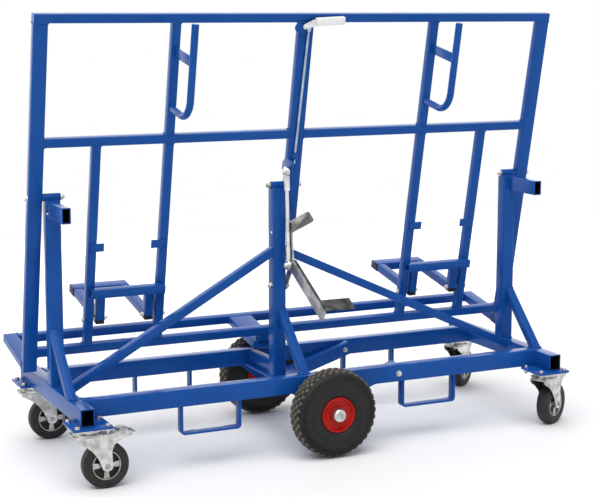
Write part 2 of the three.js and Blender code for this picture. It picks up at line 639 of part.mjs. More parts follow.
// A fold-out shelf bracket: two legs and arms, a stop tube in front, a carrying tube behind, two pivot bolts.
function shelf(name, side) {
  const half = SMALL / 2;
  const middle = (side * (INNER_X + OUTER_X)) / 2;
  const bar = (from, to, flat) => member(from, to, flat, SMALL, SMALL);
  const stopY = -SMALL - GAP;
  const spread = (OUTER_X - INNER_X) / 2;
  const stopHalf = spread + 4;
  const backHalf = SHELF_LEG_OFFSET + half;
  const pieces = [
    bar([middle - stopHalf, stopY, SHELF_FRONT_TUBE], [middle + stopHalf, stopY, SHELF_FRONT_TUBE], Y),
    member([middle - backHalf, SHELF_BACK, SHELF_PIVOT], [middle + backHalf, SHELF_BACK, SHELF_PIVOT], Y,
      SHELF_BACK_DEPTH, SMALL),
  ];
  for (const hand of [-1, 1]) {
    const x = middle + hand * SHELF_LEG_OFFSET;
    pieces.push(bar([x, -1, SHELF_FOOT], [x, -1, SHELF_FRONT_TUBE], X));
    pieces.push(bar([x, 0, SHELF_PIVOT], [x, SHELF_BACK, SHELF_PIVOT], X));
    const outside = middle + hand * (spread + half);
    pieces.push(crossBolt(outside, x - hand * half, 0, SHELF_PIVOT, SHELF_BOLT_RADIUS));
  }
  part(frame, name, join(...pieces), BLUE);
}

// The chrome hand lever at the top of the middle upright, its grip, and the latch rod that it lifts.
function handLever() {
  const [x, z] = LEVER_PIVOT;
  const rise = z + 16;
  const bar = member([x - 12, LEVER_Y, z], [LEVER_END_X, LEVER_Y, rise], Y, 6, 20, { ease: 2 });
  const tailStart = [LEVER_END_X - 14, LEVER_Y, z + 10];
  const tail = member(tailStart, [LEVER_END_X, LEVER_Y, rise], Y, 6, 16, { ease: 2 });
  const hole = rod([x, 2 * LEVER_Y, z], [x, 0, z], 4 + BOLT_CLEARANCE);
  part(frame, "hand_lever", cut(join(bar, tail), hole), CHROME);
  const start = LEVER_END_X + 6;
  const grip = member([start, LEVER_Y, rise], [start + GRIP_LENGTH, LEVER_Y, rise], Y, 18, 24, { ease: 7 });
  part(frame, "lever_grip", grip, GRIP);
  const shaft = rod(LATCH_ROD_FOOT.toArray(), LATCH_ROD_TOP.toArray(), 4);
  const { x: eyeX, y: eyeY } = LATCH_ROD_TOP;
  const eye = block([eyeX - 6, eyeY - 4, z - 16], [eyeX + 6, eyeY + 4, z + 4]);
  part(frame, "latch_rod", join(shaft, eye), CHROME);
}

// The chrome rocker pedal on the middle post: a low tread along its toe, a high one rising to the side.
function footPedal() {
  const low = PEDAL_X - PEDAL_THICK / 2;
  const high = PEDAL_X + PEDAL_THICK / 2;
  const bar = (from, to, width, thick = PEDAL_THICK) =>
    member([low + thick / 2, ...from], [low + thick / 2, ...to], X, thick, width, { ease: 1 });
  const disc = ([y, z]) => rod([low, y, z], [high, y, z], 15, 14);
  const [y, z] = PEDAL_TREAD;
  const treadMid = low + 1 + TREAD_WIDTH / 2;
  const reach = (TREAD_DEPTH / 2) * Math.cos(TREAD_SLOPE);
  const drop = (TREAD_DEPTH / 2) * Math.sin(TREAD_SLOPE);
  const lowTread = member([treadMid, y + reach, z + drop], [treadMid, y - reach, z - drop], X,
    TREAD_WIDTH, TREAD_THICK, { ease: 1 });
  const upperRoot = new THREE.Vector3(low, ...PEDAL_UPPER_TREAD);
  const upperRun = X.clone().applyAxisAngle(Y, -UPPER_TREAD_RISE);
  const upperStart = upperRoot.clone().addScaledVector(upperRun, -UPPER_TREAD_DEPTH / 2);
  const upperEnd = upperRoot.addScaledVector(upperRun, UPPER_TREAD_WIDTH);
  const upperSide = Y.clone().applyAxisAngle(X, UPPER_TREAD_SLOPE).applyAxisAngle(Y, -UPPER_TREAD_RISE);
  const highTread = member(upperStart.toArray(), upperEnd.toArray(), upperSide,
    UPPER_TREAD_DEPTH, TREAD_THICK, { ease: 1 });
  const besideLink = block([low, -HINGE_Z, 0], [HINGE_Z, 0, HINGE_Z]);
  const pin = rod([PEDAL_X, ...PEDAL_EYE], [LINK_X - 8, ...PEDAL_EYE], 5);
  const pinHead = rod([LINK_X - 5.5 - GAP, ...PEDAL_EYE], [LINK_X - 12, ...PEDAL_EYE], 9, 6);
  const arms = [bar(PEDAL_FULCRUM, PEDAL_EYE, PEDAL_ARM), bar(PEDAL_EYE, PEDAL_UPPER_END, PEDAL_ARM),
    bar(PEDAL_ROOT, PEDAL_TOE, PEDAL_WIDE_ARM, PEDAL_WIDE_THICK)];
  const treads = [lowTread, keepInside(highTread, besideLink)];
  const made = join(...arms, ...treads, disc(PEDAL_FULCRUM), disc(PEDAL_EYE), pin, pinHead);
  const bore = rod([2 * LINK_X, ...PEDAL_FULCRUM], [0, ...PEDAL_FULCRUM], HINGE_BOLT_RADIUS + BOLT_CLEARANCE);
  part(cart, "foot_pedal", cut(made, bore), CHROME);
}

// The link from the pedal's eye up to the bracket on the middle upright.
function linkRod() {
  const lean = new THREE.Vector3(0, LINK_TOP_ACROSS, LINK_TOP_ALONG).applyAxisAngle(X, LEAN);
  const foot = new THREE.Vector3(LINK_X, ...PEDAL_EYE);
  const head = new THREE.Vector3(LINK_X, HINGE_Y + lean.y, HINGE_Z + lean.z);
  const between = (t) => foot.clone().lerp(head, t).toArray();
  const eye = ({ y, z }, radius, half) => rod([LINK_X - half, y, z], [LINK_X + half, y, z], radius, 14);
  const link = join(eye(foot, 14, 5), eye(head, 15, 5), rod(between(0), between(1), 5.8, 10),
    rod(between(0.05), between(0.2), 7.5, 10), rod(between(0.8), between(0.97), 9, 10));
  part(cart, "link_rod", cut(link, eye(foot, 5.3, 20), eye(head, 5.3, 20)), CHROME);
}

chassis();
postsAndDiagonals();
wheelCarrier();
middleWheels();
casters();
tippingFrame();
shelf("left_shelf", -1);
shelf("right_shelf", 1);
handLever();
footPedal();
linkRod();

export default cart;
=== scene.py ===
# %% [markdown]
# # Dressing a sheet goods cart
# The solid model already fixes every size and every joint. This lesson gives it its looks: soft corners on
# the box section, weld beads, treaded tyres, pressed caster forks, plated fittings and a studio to stand in.

import math

import bmesh
import bpy
from mathutils import Matrix, Vector


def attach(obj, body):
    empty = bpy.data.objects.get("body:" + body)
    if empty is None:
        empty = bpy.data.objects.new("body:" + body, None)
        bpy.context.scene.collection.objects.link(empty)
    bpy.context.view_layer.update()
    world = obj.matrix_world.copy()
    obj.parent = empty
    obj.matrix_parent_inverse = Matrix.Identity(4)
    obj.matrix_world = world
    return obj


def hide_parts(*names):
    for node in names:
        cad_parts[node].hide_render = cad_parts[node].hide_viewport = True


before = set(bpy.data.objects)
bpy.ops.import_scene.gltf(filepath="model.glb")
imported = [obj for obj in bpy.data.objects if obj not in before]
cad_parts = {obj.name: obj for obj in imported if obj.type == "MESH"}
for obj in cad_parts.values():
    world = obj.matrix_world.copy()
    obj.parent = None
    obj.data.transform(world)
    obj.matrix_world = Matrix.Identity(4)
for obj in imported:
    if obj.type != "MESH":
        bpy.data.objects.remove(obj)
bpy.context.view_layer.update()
print("solid model:", len(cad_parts), "nodes")

# %% [markdown]
# ## Where things are
# Lengths below are in millimetres, because the cart was drawn that way; a piece is shrunk to metres when it
# is finished. The tipping frame leans, so its pieces are drawn upright about the hinge and then leaned as a
# whole.

# %% Main sizes and the two working frames
X = Vector((1, 0, 0))
Y = Vector((0, 1, 0))
Z = Vector((0, 0, 1))
HINGE_Y = -8
HINGE_Z = 771
LEAN = math.radians(11.7)
STANDING = Matrix.Identity(4)
LEANING = Matrix.Translation((0, HINGE_Y, HINGE_Z)) @ Matrix.Rotation(LEAN, 4, "X")
TO_METRES = Matrix.Scale(0.001, 4)
GAP = 0.3
RAIL_Y = 194
RAIL_LOW = 183
RAIL_MID = 208
RAIL_HIGH = 233
RAIL_END = 730.7
BEAM_X = 751
CASTER_X = 740
CASTER_Y = 264

# %% [markdown]
# ## Paint, plating, rubber
# Every finish is a small node tree on Object coordinates. Powder coat is a deep colour with a fine
# orange-peel bump; zinc plating is a bright metal with cloudy patches; rubber is nearly black with a dusty,
# uneven sheen. The tread blocks are a lighter brown than the carcass: dust, and a painted highlight on the
# block tops.

# %% A helper that starts a finish
def start_finish(name):
    finish = bpy.data.materials.new(name)
    finish.use_nodes = True
    tree = finish.node_tree
    shader = tree.nodes["Principled BSDF"]
    place = tree.nodes.new("ShaderNodeTexCoord")
    return finish, tree, shader, place


def noise(tree, place, scale, detail=3.0):
    texture = tree.nodes.new("ShaderNodeTexNoise")
    texture.inputs["Scale"].default_value = scale
    texture.inputs["Detail"].default_value = detail
    tree.links.new(place.outputs["Object"], texture.inputs["Vector"])
    return texture


def colour_between(tree, source, socket, dark, light, low=0.3, high=0.7):
    ramp = tree.nodes.new("ShaderNodeValToRGB")
    ramp.color_ramp.elements[0].position = low
    ramp.color_ramp.elements[1].position = high
    ramp.color_ramp.elements[0].color = (*dark, 1)
    ramp.color_ramp.elements[1].color = (*light, 1)
    tree.links.new(source.outputs["Fac"], ramp.inputs["Fac"])
    tree.links.new(ramp.outputs["Color"], socket)


def value_between(tree, source, socket, low, high):
    spread = tree.nodes.new("ShaderNodeMapRange")
    spread.inputs["To Min"].default_value = low
    spread.inputs["To Max"].default_value = high
    tree.links.new(source.outputs["Fac"], spread.inputs["Value"])
    tree.links.new(spread.outputs["Result"], socket)


def roughen(tree, source, shader, strength, distance):
    bump = tree.nodes.new("ShaderNodeBump")
    bump.inputs["Strength"].default_value = strength
    bump.inputs["Distance"].default_value = distance
    tree.links.new(source.outputs["Fac"], bump.inputs["Height"])
    tree.links.new(bump.outputs["Normal"], shader.inputs["Normal"])


# %% The finishes of the cart
def powder_coat(name, dark, light, gloss=0.3):
    finish, tree, shader, place = start_finish(name)
    colour_between(tree, noise(tree, place, 7.0), shader.inputs["Base Color"], dark, light)
    value_between(tree, noise(tree, place, 18.0), shader.inputs["Roughness"], gloss - 0.05, gloss + 0.09)
    roughen(tree, noise(tree, place, 420.0, 2.0), shader, 0.10, 0.0006)
    shader.inputs["Specular IOR Level"].default_value = 0.13
    return finish


def plated_metal(name, dark, light, gloss, grain):
    finish, tree, shader, place = start_finish(name)
    shader.inputs["Metallic"].default_value = 1.0
    clouds = noise(tree, place, 34.0, 5.0)
    colour_between(tree, clouds, shader.inputs["Base Color"], dark, light, 0.36, 0.62)
    value_between(tree, noise(tree, place, 60.0, 4.0), shader.inputs["Roughness"], gloss - 0.07, gloss + 0.10)
    roughen(tree, noise(tree, place, grain, 3.0), shader, 0.12, 0.0004)
    return finish


def rubber_skin(name, dark, light, rough):
    finish, tree, shader, place = start_finish(name)
    colour_between(tree, noise(tree, place, 55.0, 6.0), shader.inputs["Base Color"], dark, light)
    value_between(tree, noise(tree, place, 90.0, 4.0), shader.inputs["Roughness"], rough - 0.12, rough + 0.1)
    roughen(tree, noise(tree, place, 900.0, 4.0), shader, 0.25, 0.0005)
    shader.inputs["Specular IOR Level"].default_value = 0.3
    return finish


BLUE_COAT = powder_coat("blue_powder_coat", (0.005, 0.071, 0.315), (0.008, 0.085, 0.360), 0.20)
RED_COAT = powder_coat("red_rim_coat", (0.46, 0.014, 0.010), (0.56, 0.024, 0.016), 0.26)
ZINC = plated_metal("bright_zinc", (0.36, 0.36, 0.35), (0.74, 0.74, 0.72), 0.27, 240.0)
NICKEL = plated_metal("plated_lever_steel", (0.56, 0.56, 0.55), (0.80, 0.80, 0.79), 0.28, 300.0)
# latch rod: plated steel whose blue tint is a painted reflection of the blue upright beside it
ROD_ZINC_PAINTED_BLUE_REFLECTION = plated_metal("rod_zinc_painted_blue_reflection", (0.30, 0.38, 0.49), (0.44, 0.52, 0.64), 0.26, 300.0)
BRUSHED = plated_metal("brushed_tread_steel", (0.27, 0.27, 0.26), (0.50, 0.50, 0.49), 0.40, 420.0)
# upper pedal tread: steel made darker than the arms as painted shade, for the shadow the arm casts on it
TREAD_STEEL_PAINTED_SHADE = plated_metal("brushed_tread_painted_shade", (0.10, 0.10, 0.095), (0.22, 0.22, 0.21), 0.42, 420.0)
# dark tread steel; the same near-black also paints a dark reflection along the lower arm's top edge
DARK_STEEL_AND_PAINTED_REFLECTION = plated_metal("dark_tread_steel_and_painted_reflection", (0.03, 0.03, 0.028), (0.105, 0.105, 0.10), 0.40, 420.0)
ALUMINIUM = plated_metal("cast_aluminium", (0.33, 0.32, 0.295), (0.52, 0.505, 0.475), 0.36, 320.0)
TYRE = rubber_skin("black_tyre_rubber", (0.007, 0.007, 0.007), (0.015, 0.015, 0.014), 0.62)
# tread blocks: lighter brown than the black carcass, dust plus a painted highlight on the block tops
TREAD_DUST_AND_HIGHLIGHT = rubber_skin("tread_blocks_dust_and_painted_highlight", (0.085, 0.074, 0.060), (0.16, 0.14, 0.115), 0.70)
CASTER_RUBBER = rubber_skin("caster_rubber", (0.013, 0.013, 0.014), (0.028, 0.027, 0.027), 0.58)
# black plastic for the caps; the same near-black also lines the open tube mouths as painted shade
BLACK_PLASTIC_AND_PAINTED_SHADE = rubber_skin("black_plastic_and_painted_shade", (0.003, 0.003, 0.004), (0.007, 0.007, 0.008), 0.48)
PALE_GRIP = rubber_skin("pale_grip_sleeve", (0.86, 0.88, 0.88), (0.93, 0.95, 0.95), 0.38)
print("finishes:", len(bpy.data.materials))

# %% [markdown]
# ## Shop tools
# A cart like this is cut from stock: box section, round bar, plate, bolts. Each could be modelled by hand, but
# the same few shapes come back a hundred times. So there is one helper for each kind of stock: it starts from a
# bmesh primitive, eases its corners with a bevel and lays it between two points.

# %% Finishing a piece
def settle(bm, part, matrix):
    bmesh.ops.transform(part, matrix=matrix, verts=part.verts)
    scratch = bpy.data.meshes.new("scratch")
    part.to_mesh(scratch)
    part.free()
    bm.from_mesh(scratch)
    bpy.data.meshes.remove(scratch)


def piece(name, bm, body, finish, place=STANDING, stands_for=(), sharp=38):
    bmesh.ops.transform(bm, matrix=TO_METRES @ place, verts=bm.verts)
    mesh = bpy.data.meshes.new(name)
    bm.to_mesh(mesh)
    bm.free()
    mesh.materials.append(finish)
    mesh.shade_smooth()
    mesh.set_sharp_from_angle(angle=math.radians(sharp))
    made = bpy.data.objects.new(name, mesh)
    bpy.context.scene.collection.objects.link(made)
    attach(made, body)
    if stands_for:
        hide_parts(*stands_for)
    return made


def lay(start, along, side):
    across = along.cross(side).normalized()
    return Matrix.Translation(start) @ Matrix((side, across, along)).transposed().to_4x4()


# %% Box section, with open mouths and weld beads where they show
def soften(part, edges, offset, segments=3):
    bmesh.ops.bevel(part, geom=edges, offset=offset, offset_type="OFFSET", segments=segments,
                    profile=0.5, affect="EDGES", material=-1)


def edges_along_z(part, least):
    return [e for e in part.edges if abs(e.verts[0].co.z - e.verts[1].co.z) > least]


def hollow_mouth(part, sign, wall, depth):
    cap = [face for face in part.faces if face.normal.z * sign > 0.9]
    bmesh.ops.inset_region(part, faces=cap, thickness=wall, use_even_offset=True)
    grown = bmesh.ops.extrude_face_region(part, geom=cap)
    moved = [item for item in grown["geom"] if isinstance(item, bmesh.types.BMVert)]
    bmesh.ops.translate(part, vec=(0, 0, -sign * depth), verts=moved)
    left_over = [face for face in cap if face.is_valid]
    bmesh.ops.delete(part, geom=left_over, context="FACES_ONLY")


def bead(bm, corners, matrix, radius=2.6, step=2.6):
    part = bmesh.new()
    for first, last in zip(corners, corners[1:]):
        run = Vector(last) - Vector(first)
        count = max(1, round(run.length / step))
        for k in range(count):
            centre = Vector(first) + run * (k / count)
            bmesh.ops.create_icosphere(part, subdivisions=1, radius=radius, matrix=Matrix.Translation(centre))
    settle(bm, part, matrix)


def box_section(bm, start, end, side, width, height, corner=2.0, mouths="", welds="", wall=2.5, depth=80.0):
    start = Vector(start)
    run = Vector(end) - start
    length = run.length
    part = bmesh.new()
    bmesh.ops.create_cube(part, size=1.0)
    bmesh.ops.scale(part, vec=(width, height, length), verts=part.verts)
    bmesh.ops.translate(part, vec=(0, 0, length / 2), verts=part.verts)
    soften(part, edges_along_z(part, length / 2), corner)
    room = length - 4 if len(mouths) == 1 else length * 0.45
    for letter, sign in (("s", -1), ("e", 1)):
        if letter in mouths:
            hollow_mouth(part, sign, wall, min(depth, room))
    bmesh.ops.recalc_face_normals(part, faces=part.faces)
    matrix = lay(start, run.normalized(), Vector(side))
    settle(bm, part, matrix)
    w, h = width / 2 - 0.6, height / 2 - 0.6
    for letter, at in (("s", 0.4), ("e", length - 0.4)):
        if letter in welds:
            loop = [(w, h, at), (-w, h, at), (-w, -h, at), (w, -h, at), (w, h, at)]
            bead(bm, loop, matrix)


# %% Round bar, plate and turned work
def round_bar(bm, start, end, radius, sides=28, ease=0.8, tip=None):
    start = Vector(start)
    run = Vector(end) - start
    part = bmesh.new()
    bmesh.ops.create_cone(part, cap_ends=True, segments=sides, radius1=radius,
                          radius2=radius if tip is None else tip, depth=run.length)
    rims = [e for e in part.edges if abs(e.verts[0].co.z - e.verts[1].co.z) < 1e-6]
    soften(part, rims, ease, 2)
    bmesh.ops.translate(part, vec=(0, 0, run.length / 2), verts=part.verts)
    turn = Z.rotation_difference(run.normalized()).to_matrix().to_4x4()
    settle(bm, part, Matrix.Translation(start) @ turn)


def plate(bm, low, high, ease=1.0, matrix=STANDING):
    low, high = Vector(low), Vector(high)
    part = bmesh.new()
    bmesh.ops.create_cube(part, size=1.0)
    bmesh.ops.scale(part, vec=high - low, verts=part.verts)
    bmesh.ops.translate(part, vec=(low + high) / 2, verts=part.verts)
    soften(part, part.edges[:], ease, 2)
    settle(bm, part, matrix)


def cut_plate(bm, outline, thick, matrix, ease=0.8, round_corner=0.0):
    part = bmesh.new()
    face = part.faces.new([part.verts.new((x, y, 0)) for x, y in outline])
    grown = bmesh.ops.extrude_face_region(part, geom=[face])
    top = [item for item in grown["geom"] if isinstance(item, bmesh.types.BMVert)]
    bmesh.ops.translate(part, vec=(0, 0, thick), verts=top)
    if round_corner:
        soften(part, edges_along_z(part, thick / 2), round_corner, 5)
    bmesh.ops.recalc_face_normals(part, faces=part.faces)
    flat = [f for f in part.faces if abs(f.normal.z) > 0.9]
    soften(part, list({e for f in flat for e in f.edges}), ease, 2)
    settle(bm, part, matrix)


def turned(bm, profile, matrix, steps=48):
    part = bmesh.new()
    points = [part.verts.new((radius, 0, along)) for radius, along in profile]
    ring = points + points[:1]
    edges = [part.edges.new(pair) for pair in zip(ring, ring[1:])]
    bmesh.ops.spin(part, geom=points + edges, cent=(0, 0, 0), axis=(0, 0, 1), dvec=(0, 0, 0),
                   angle=2 * math.pi, steps=steps, use_merge=True, use_normal_flip=False, use_duplicate=False)
    bmesh.ops.remove_doubles(part, verts=part.verts, dist=1e-4)
    bmesh.ops.recalc_face_normals(part, faces=part.faces)
    settle(bm, part, matrix)


# %% Hex heads, nuts and washers
def hex_head(bm, base, outward, radius, height, washer=True, thread=0.0):
    base, outward = Vector(base), Vector(outward)
    if washer:
        round_bar(bm, base, base + outward * 1.8, radius * 1.26, 32, 0.4)
        base = base + outward * 1.6
    round_bar(bm, base, base + outward * height, radius * 1.12, 6, 0.9)
    round_bar(bm, base, base + outward * (height + 0.5), radius * 0.74, 24, 0.4)
    if thread:
        round_bar(bm, base, base + outward * (height + thread), radius * 0.52, 20, 0.8)
        for k in range(int(thread / 1.6)):
            ring = base + outward * (height + 0.7 + 1.6 * k)
            round_bar(bm, ring, ring + outward * 0.8, radius * 0.56, 20, 0.3)


print("shop tools ready")

# %% Trimming and sweeping
def trim(part, point, normal):
    everything = part.verts[:] + part.edges[:] + part.faces[:]
    bmesh.ops.bisect_plane(part, geom=everything, dist=1e-4, plane_co=point, plane_no=normal,
                           clear_outer=True)
    bmesh.ops.holes_fill(part, edges=[e for e in part.edges if e.is_boundary], sides=0)
    bmesh.ops.recalc_face_normals(part, faces=part.faces)


def trimmed_section(bm, start, end, side, width, height, planes):
    part = bmesh.new()
    box_section(part, start, end, side, width, height)
    for point, normal in planes:
        trim(part, point, normal)
    settle(bm, part, STANDING)


def ring_of(part, sides, size_x, size_y, matrix):
    made = bmesh.ops.create_circle(part, cap_ends=False, segments=sides, radius=1.0)
    if sides == 4:
        turn = Matrix.Rotation(math.pi / 4, 3, "Z")
        bmesh.ops.rotate(part, cent=(0, 0, 0), matrix=turn, verts=made["verts"])
        bmesh.ops.scale(part, vec=(math.sqrt(2), math.sqrt(2), 1), verts=made["verts"])
    bmesh.ops.scale(part, vec=(size_x / 2, size_y / 2, 1), verts=made["verts"])
    bmesh.ops.transform(part, matrix=matrix, verts=made["verts"])
    return made["verts"] + part.edges[:]


def sweep(part, ring, moves):
    for centre, axis, angle, run, steps in moves:
        made = bmesh.ops.spin(part, geom=ring, cent=centre, axis=axis, dvec=run, angle=angle, steps=steps,
                              use_merge=False, use_normal_flip=False, use_duplicate=False)
        ring = made["geom_last"]
    bmesh.ops.remove_doubles(part, verts=part.verts, dist=1e-3)
    bmesh.ops.holes_fill(part, edges=[e for e in part.edges if e.is_boundary], sides=0)
    bmesh.ops.recalc_face_normals(part, faces=part.faces)


def strap(bm, first, last, x, width, thick, square=False):
    start = Vector((x - thick / 2, *first))
    run = Vector((x - thick / 2, *last)) - start
    along = run.normalized()
    r = width / 2
    over = 0 if square else r
    outline = [(-over, -r), (run.length + over, -r), (run.length + over, r), (-over, r)]
    matrix = Matrix.Translation(start) @ Matrix((along, X.cross(along), X)).transposed().to_4x4()
    cut_plate(bm, outline, thick, matrix, 0.8, 1.5 if square else r - 0.05)


# %% [markdown]
# ## The chassis
# Two long rails run between two end beams. On a real cart they are sawn from box section and welded, so the
# rails end in a bead against the beams, and the beams keep their open mouths, darkened inside by black liners
# that are painted shade. A bead could be a bump in the paint; a row of small overlapping balls also breaks the
# outline the way a real weld does. A plate under each beam end takes a caster.

# %% Rails and end beams
BOLT_SPREAD = 42

for word, side in (("front", -1), ("rear", 1)):
    bm = bmesh.new()
    start, end = [(x, side * RAIL_Y, RAIL_MID) for x in (-RAIL_END, RAIL_END)]
    box_section(bm, start, end, Y, 40, 50, 2.5, welds="se")
    piece(f"{word}_rail_tube", bm, "chassis", BLUE_COAT, stands_for=(f"{word}_rail",))

bolts = bmesh.new()
for word, side in (("left", -1), ("right", 1)):
    bm = bmesh.new()
    x = side * BEAM_X
    box_section(bm, (x, -301, RAIL_MID), (x, 301, RAIL_MID), X, 40, 50, 2.5, "se", wall=3)
    for end in (-1, 1):
        middle = Matrix.Translation((side * CASTER_X, end * CASTER_Y, RAIL_LOW - GAP - 6))
        cut_plate(bm, [(-56, -56), (56, -56), (56, 56), (-56, 56)], 6, middle, 0.8, 9)
        for edge in (-19, 19):
            bead(bm, [(x + edge, end * 210, RAIL_LOW), (x + edge, end * 299, RAIL_LOW)], STANDING, 2.2)
        for sx in (-BOLT_SPREAD, BOLT_SPREAD):
            for sy in (-BOLT_SPREAD, BOLT_SPREAD):
                base = Vector((side * CASTER_X + sx, end * CASTER_Y + sy, RAIL_LOW - GAP))
                hex_head(bolts, base, Z, 6.2, 5.2)
    piece(f"{word}_end_beam_tube", bm, "chassis", BLUE_COAT, stands_for=(f"{word}_end_beam",))
piece("caster_plate_bolts", bolts, "chassis", ZINC)
print("rails and beams made")

# %% [markdown]
# ## Centre beam and fork loops
# A flat floor joins the rails under the middle post, with a short stay behind it. The four loops under the
# rails take the forks of a lift truck. Each is one strap bent twice, so its section is spun through the bends
# and carried along the straights, which keeps the thickness even where two boxes would meet in a hard corner.

# %% Centre beam and the swept loops
bm = bmesh.new()
box_section(bm, (-33, -173.7, 186), (-33, 173.7, 186), X, 110, 6, 1, welds="se")
box_section(bm, (-60, 12.3, 210.3), (-60, 173.7, 210.3), X, 25, 45.4, 2.5, welds="se")
piece("centre_beam_floor", bm, "chassis", BLUE_COAT, stands_for=("centre_beam",))


def fork_loop(bm, middle_x, y):
    part = bmesh.new()
    half, bend, drop, top = 92.25, 9, 84, RAIL_LOW - GAP
    left = middle_x - half + 3
    right = middle_x + half - 3
    low = top - drop + 3
    ring = ring_of(part, 4, 6, 30, Matrix.Translation((left, y, top)))
    sweep(part, ring, [
        ((0, 0, 0), Z, 0, (0, 0, low + bend - top), 1),
        ((left + bend, y, low + bend), -Y, math.pi / 2, (0, 0, 0), 7),
        ((0, 0, 0), Z, 0, (right - left - 2 * bend, 0, 0), 1),
        ((right - bend, y, low + bend), -Y, math.pi / 2, (0, 0, 0), 7),
        ((0, 0, 0), Z, 0, (0, 0, top - low - bend), 1),
    ])
    soften(part, [e for e in part.edges if e.calc_face_angle(0) > 1.2], 0.9, 2)
    settle(bm, part, STANDING)
    for x in (left, right):
        corners = [(-3, -15), (-3, 15), (3, 15), (3, -15)]
        bead(bm, [(x + across, y + along, top) for across, along in corners], STANDING, 2.0)


for row, y in (("front", -RAIL_Y), ("rear", RAIL_Y)):
    for hand, side in (("left", -1), ("right", 1)):
        bm = bmesh.new()
        fork_loop(bm, side * 356.75, y)
        name = f"{row}_{hand}_fork_loop"
        piece(f"{name}_strap", bm, "chassis", BLUE_COAT, stands_for=(name,))
print("fork loops made")

# %% [markdown]
# ## Posts, braces and diagonals
# Three posts hold the hinge. Each has a short brace at its foot, and the outer two carry an open socket for a
# push handle. Two long diagonals run from the middle post down to the end beams. A mitred end could be cut by
# a boolean; two bisecting planes do it with clean faces, so the brace is laid too long and trimmed.

# %% The three posts
POST_FRONT = HINGE_Y - 20
POST_TOP = 764
SLEEVE = 11
BRACE = 150
FLUSH = 7.5


def brace(bm, x):
    high, low = RAIL_HIGH + BRACE, POST_FRONT - BRACE
    trimmed_section(bm, (x, POST_FRONT + 40, high + 40), (x, low - 40, RAIL_HIGH - 40), X, 25, 25,
                    [((x, POST_FRONT + 1, 0), Y), ((x, 0, RAIL_HIGH + GAP), -Z)])
    half = 12.5 * math.sqrt(2)
    for side in (x - 12, x + 12):
        bead(bm, [(side, POST_FRONT, high - half), (side, POST_FRONT, high + half)], STANDING)
        bead(bm, [(side, low - half, RAIL_HIGH + 1), (side, low + half, RAIL_HIGH + 1)], STANDING)
    bead(bm, [(x - 12, POST_FRONT, high + half), (x + 12, POST_FRONT, high + half)], STANDING)
    bead(bm, [(x - 12, low - half, RAIL_HIGH + 1), (x + 12, low - half, RAIL_HIGH + 1)], STANDING)


def post(name, x, foot, sleeve_from, sleeve_to, socket):
    bm = bmesh.new()
    box_section(bm, (x, HINGE_Y, foot + GAP), (x, HINGE_Y, POST_TOP), X, 40, 40, 2.5, welds="s")
    round_bar(bm, (sleeve_from, HINGE_Y, HINGE_Z), (sleeve_to, HINGE_Y, HINGE_Z), SLEEVE, 40, 0.8)
    for y in (HINGE_Y - 10, HINGE_Y + 10):
        bead(bm, [(x - 18, y, POST_TOP), (x + 18, y, POST_TOP)], STANDING)
    flush = x + math.copysign(FLUSH, sleeve_to - x)
    brace(bm, flush)
    if socket:
        box_section(bm, (flush, POST_FRONT, 738), (flush, -172, 738), X, 25, 44, 2, "e", "s", 2.5, 110)
    piece(f"{name}_tube", bm, "chassis", BLUE_COAT, stands_for=(name,))


post("left_post", -BEAM_X, RAIL_HIGH, -727, -779.7, True)
post("right_post", BEAM_X, RAIL_HIGH, 727, 779.7, True)
post("centre_post", -60, 189, -84, -37.3, False)

# %% Painted shade: black liners inside the open tube mouths
bm = bmesh.new()
for x in (-BEAM_X, BEAM_X):
    for end in (-1, 1):
        mouth, back = (x, end * 300.4, RAIL_MID), (x, end * 200, RAIL_MID)
        box_section(bm, mouth, back, X, 34, 44, 0.4, "s", "", 0.5, 95)
    flush = x + math.copysign(FLUSH, x)
    box_section(bm, (flush, -171.4, 738), (flush, POST_FRONT - 1, 738), X, 20, 39, 0.4, "s", "", 0.4, 138)
piece("tube_mouth_painted_shade", bm, "chassis", BLACK_PLASTIC_AND_PAINTED_SHADE)

# %% The diagonals
for word, side in (("left", -1), ("right", 1)):
    bm = bmesh.new()
    top = Vector((-60 + side * 20.3, -15, 574))
    foot = Vector((side * RAIL_END, -48, 222))
    over = (foot - top) * 0.05
    flat = Vector((-over.y, over.x, 0)).normalized()
    trimmed_section(bm, top - over, foot + over, flat, 25, 25, [(top, X * -side), (foot, X * side)])
    for point in (top, foot):
        for z in (-13, 13):
            bead(bm, [point + Vector((0, -12, z)), point + Vector((0, 12, z))], STANDING)
        for y in (-12, 12):
            bead(bm, [point + Vector((0, y, -13)), point + Vector((0, y, 13))], STANDING)
    piece(f"{word}_diagonal_tube", bm, "chassis", BLUE_COAT, stands_for=(f"{word}_diagonal",))
print("posts and diagonals made")

# %% [markdown]
# ## Bolts of the hinge
# The frame tips on three bolts in line. A bolt is a shank with a washer and hex head on one side and a nut
# with a few threads showing on the other. Threads could be one helix, but at this size stacked thin rings
# read the same and cost a few faces each.

# %% Hinge and pivot bolts
def cross_bolt(name, head_x, nut_x, y, z, radius, thread=5.0):
    bm = bmesh.new()
    away = 1 if head_x > nut_x else -1
    round_bar(bm, (head_x + away, y, z), (nut_x - away, y, z), radius - 0.2)
    hex_head(bm, (head_x + away * GAP, y, z), X * away, radius * 1.35, radius * 1.1)
    hex_head(bm, (nut_x - away * GAP, y, z), X * -away, radius * 1.35, radius * 1.0, True, thread)
    piece(f"{name}_steel", bm, "chassis", ZINC, stands_for=(name,))


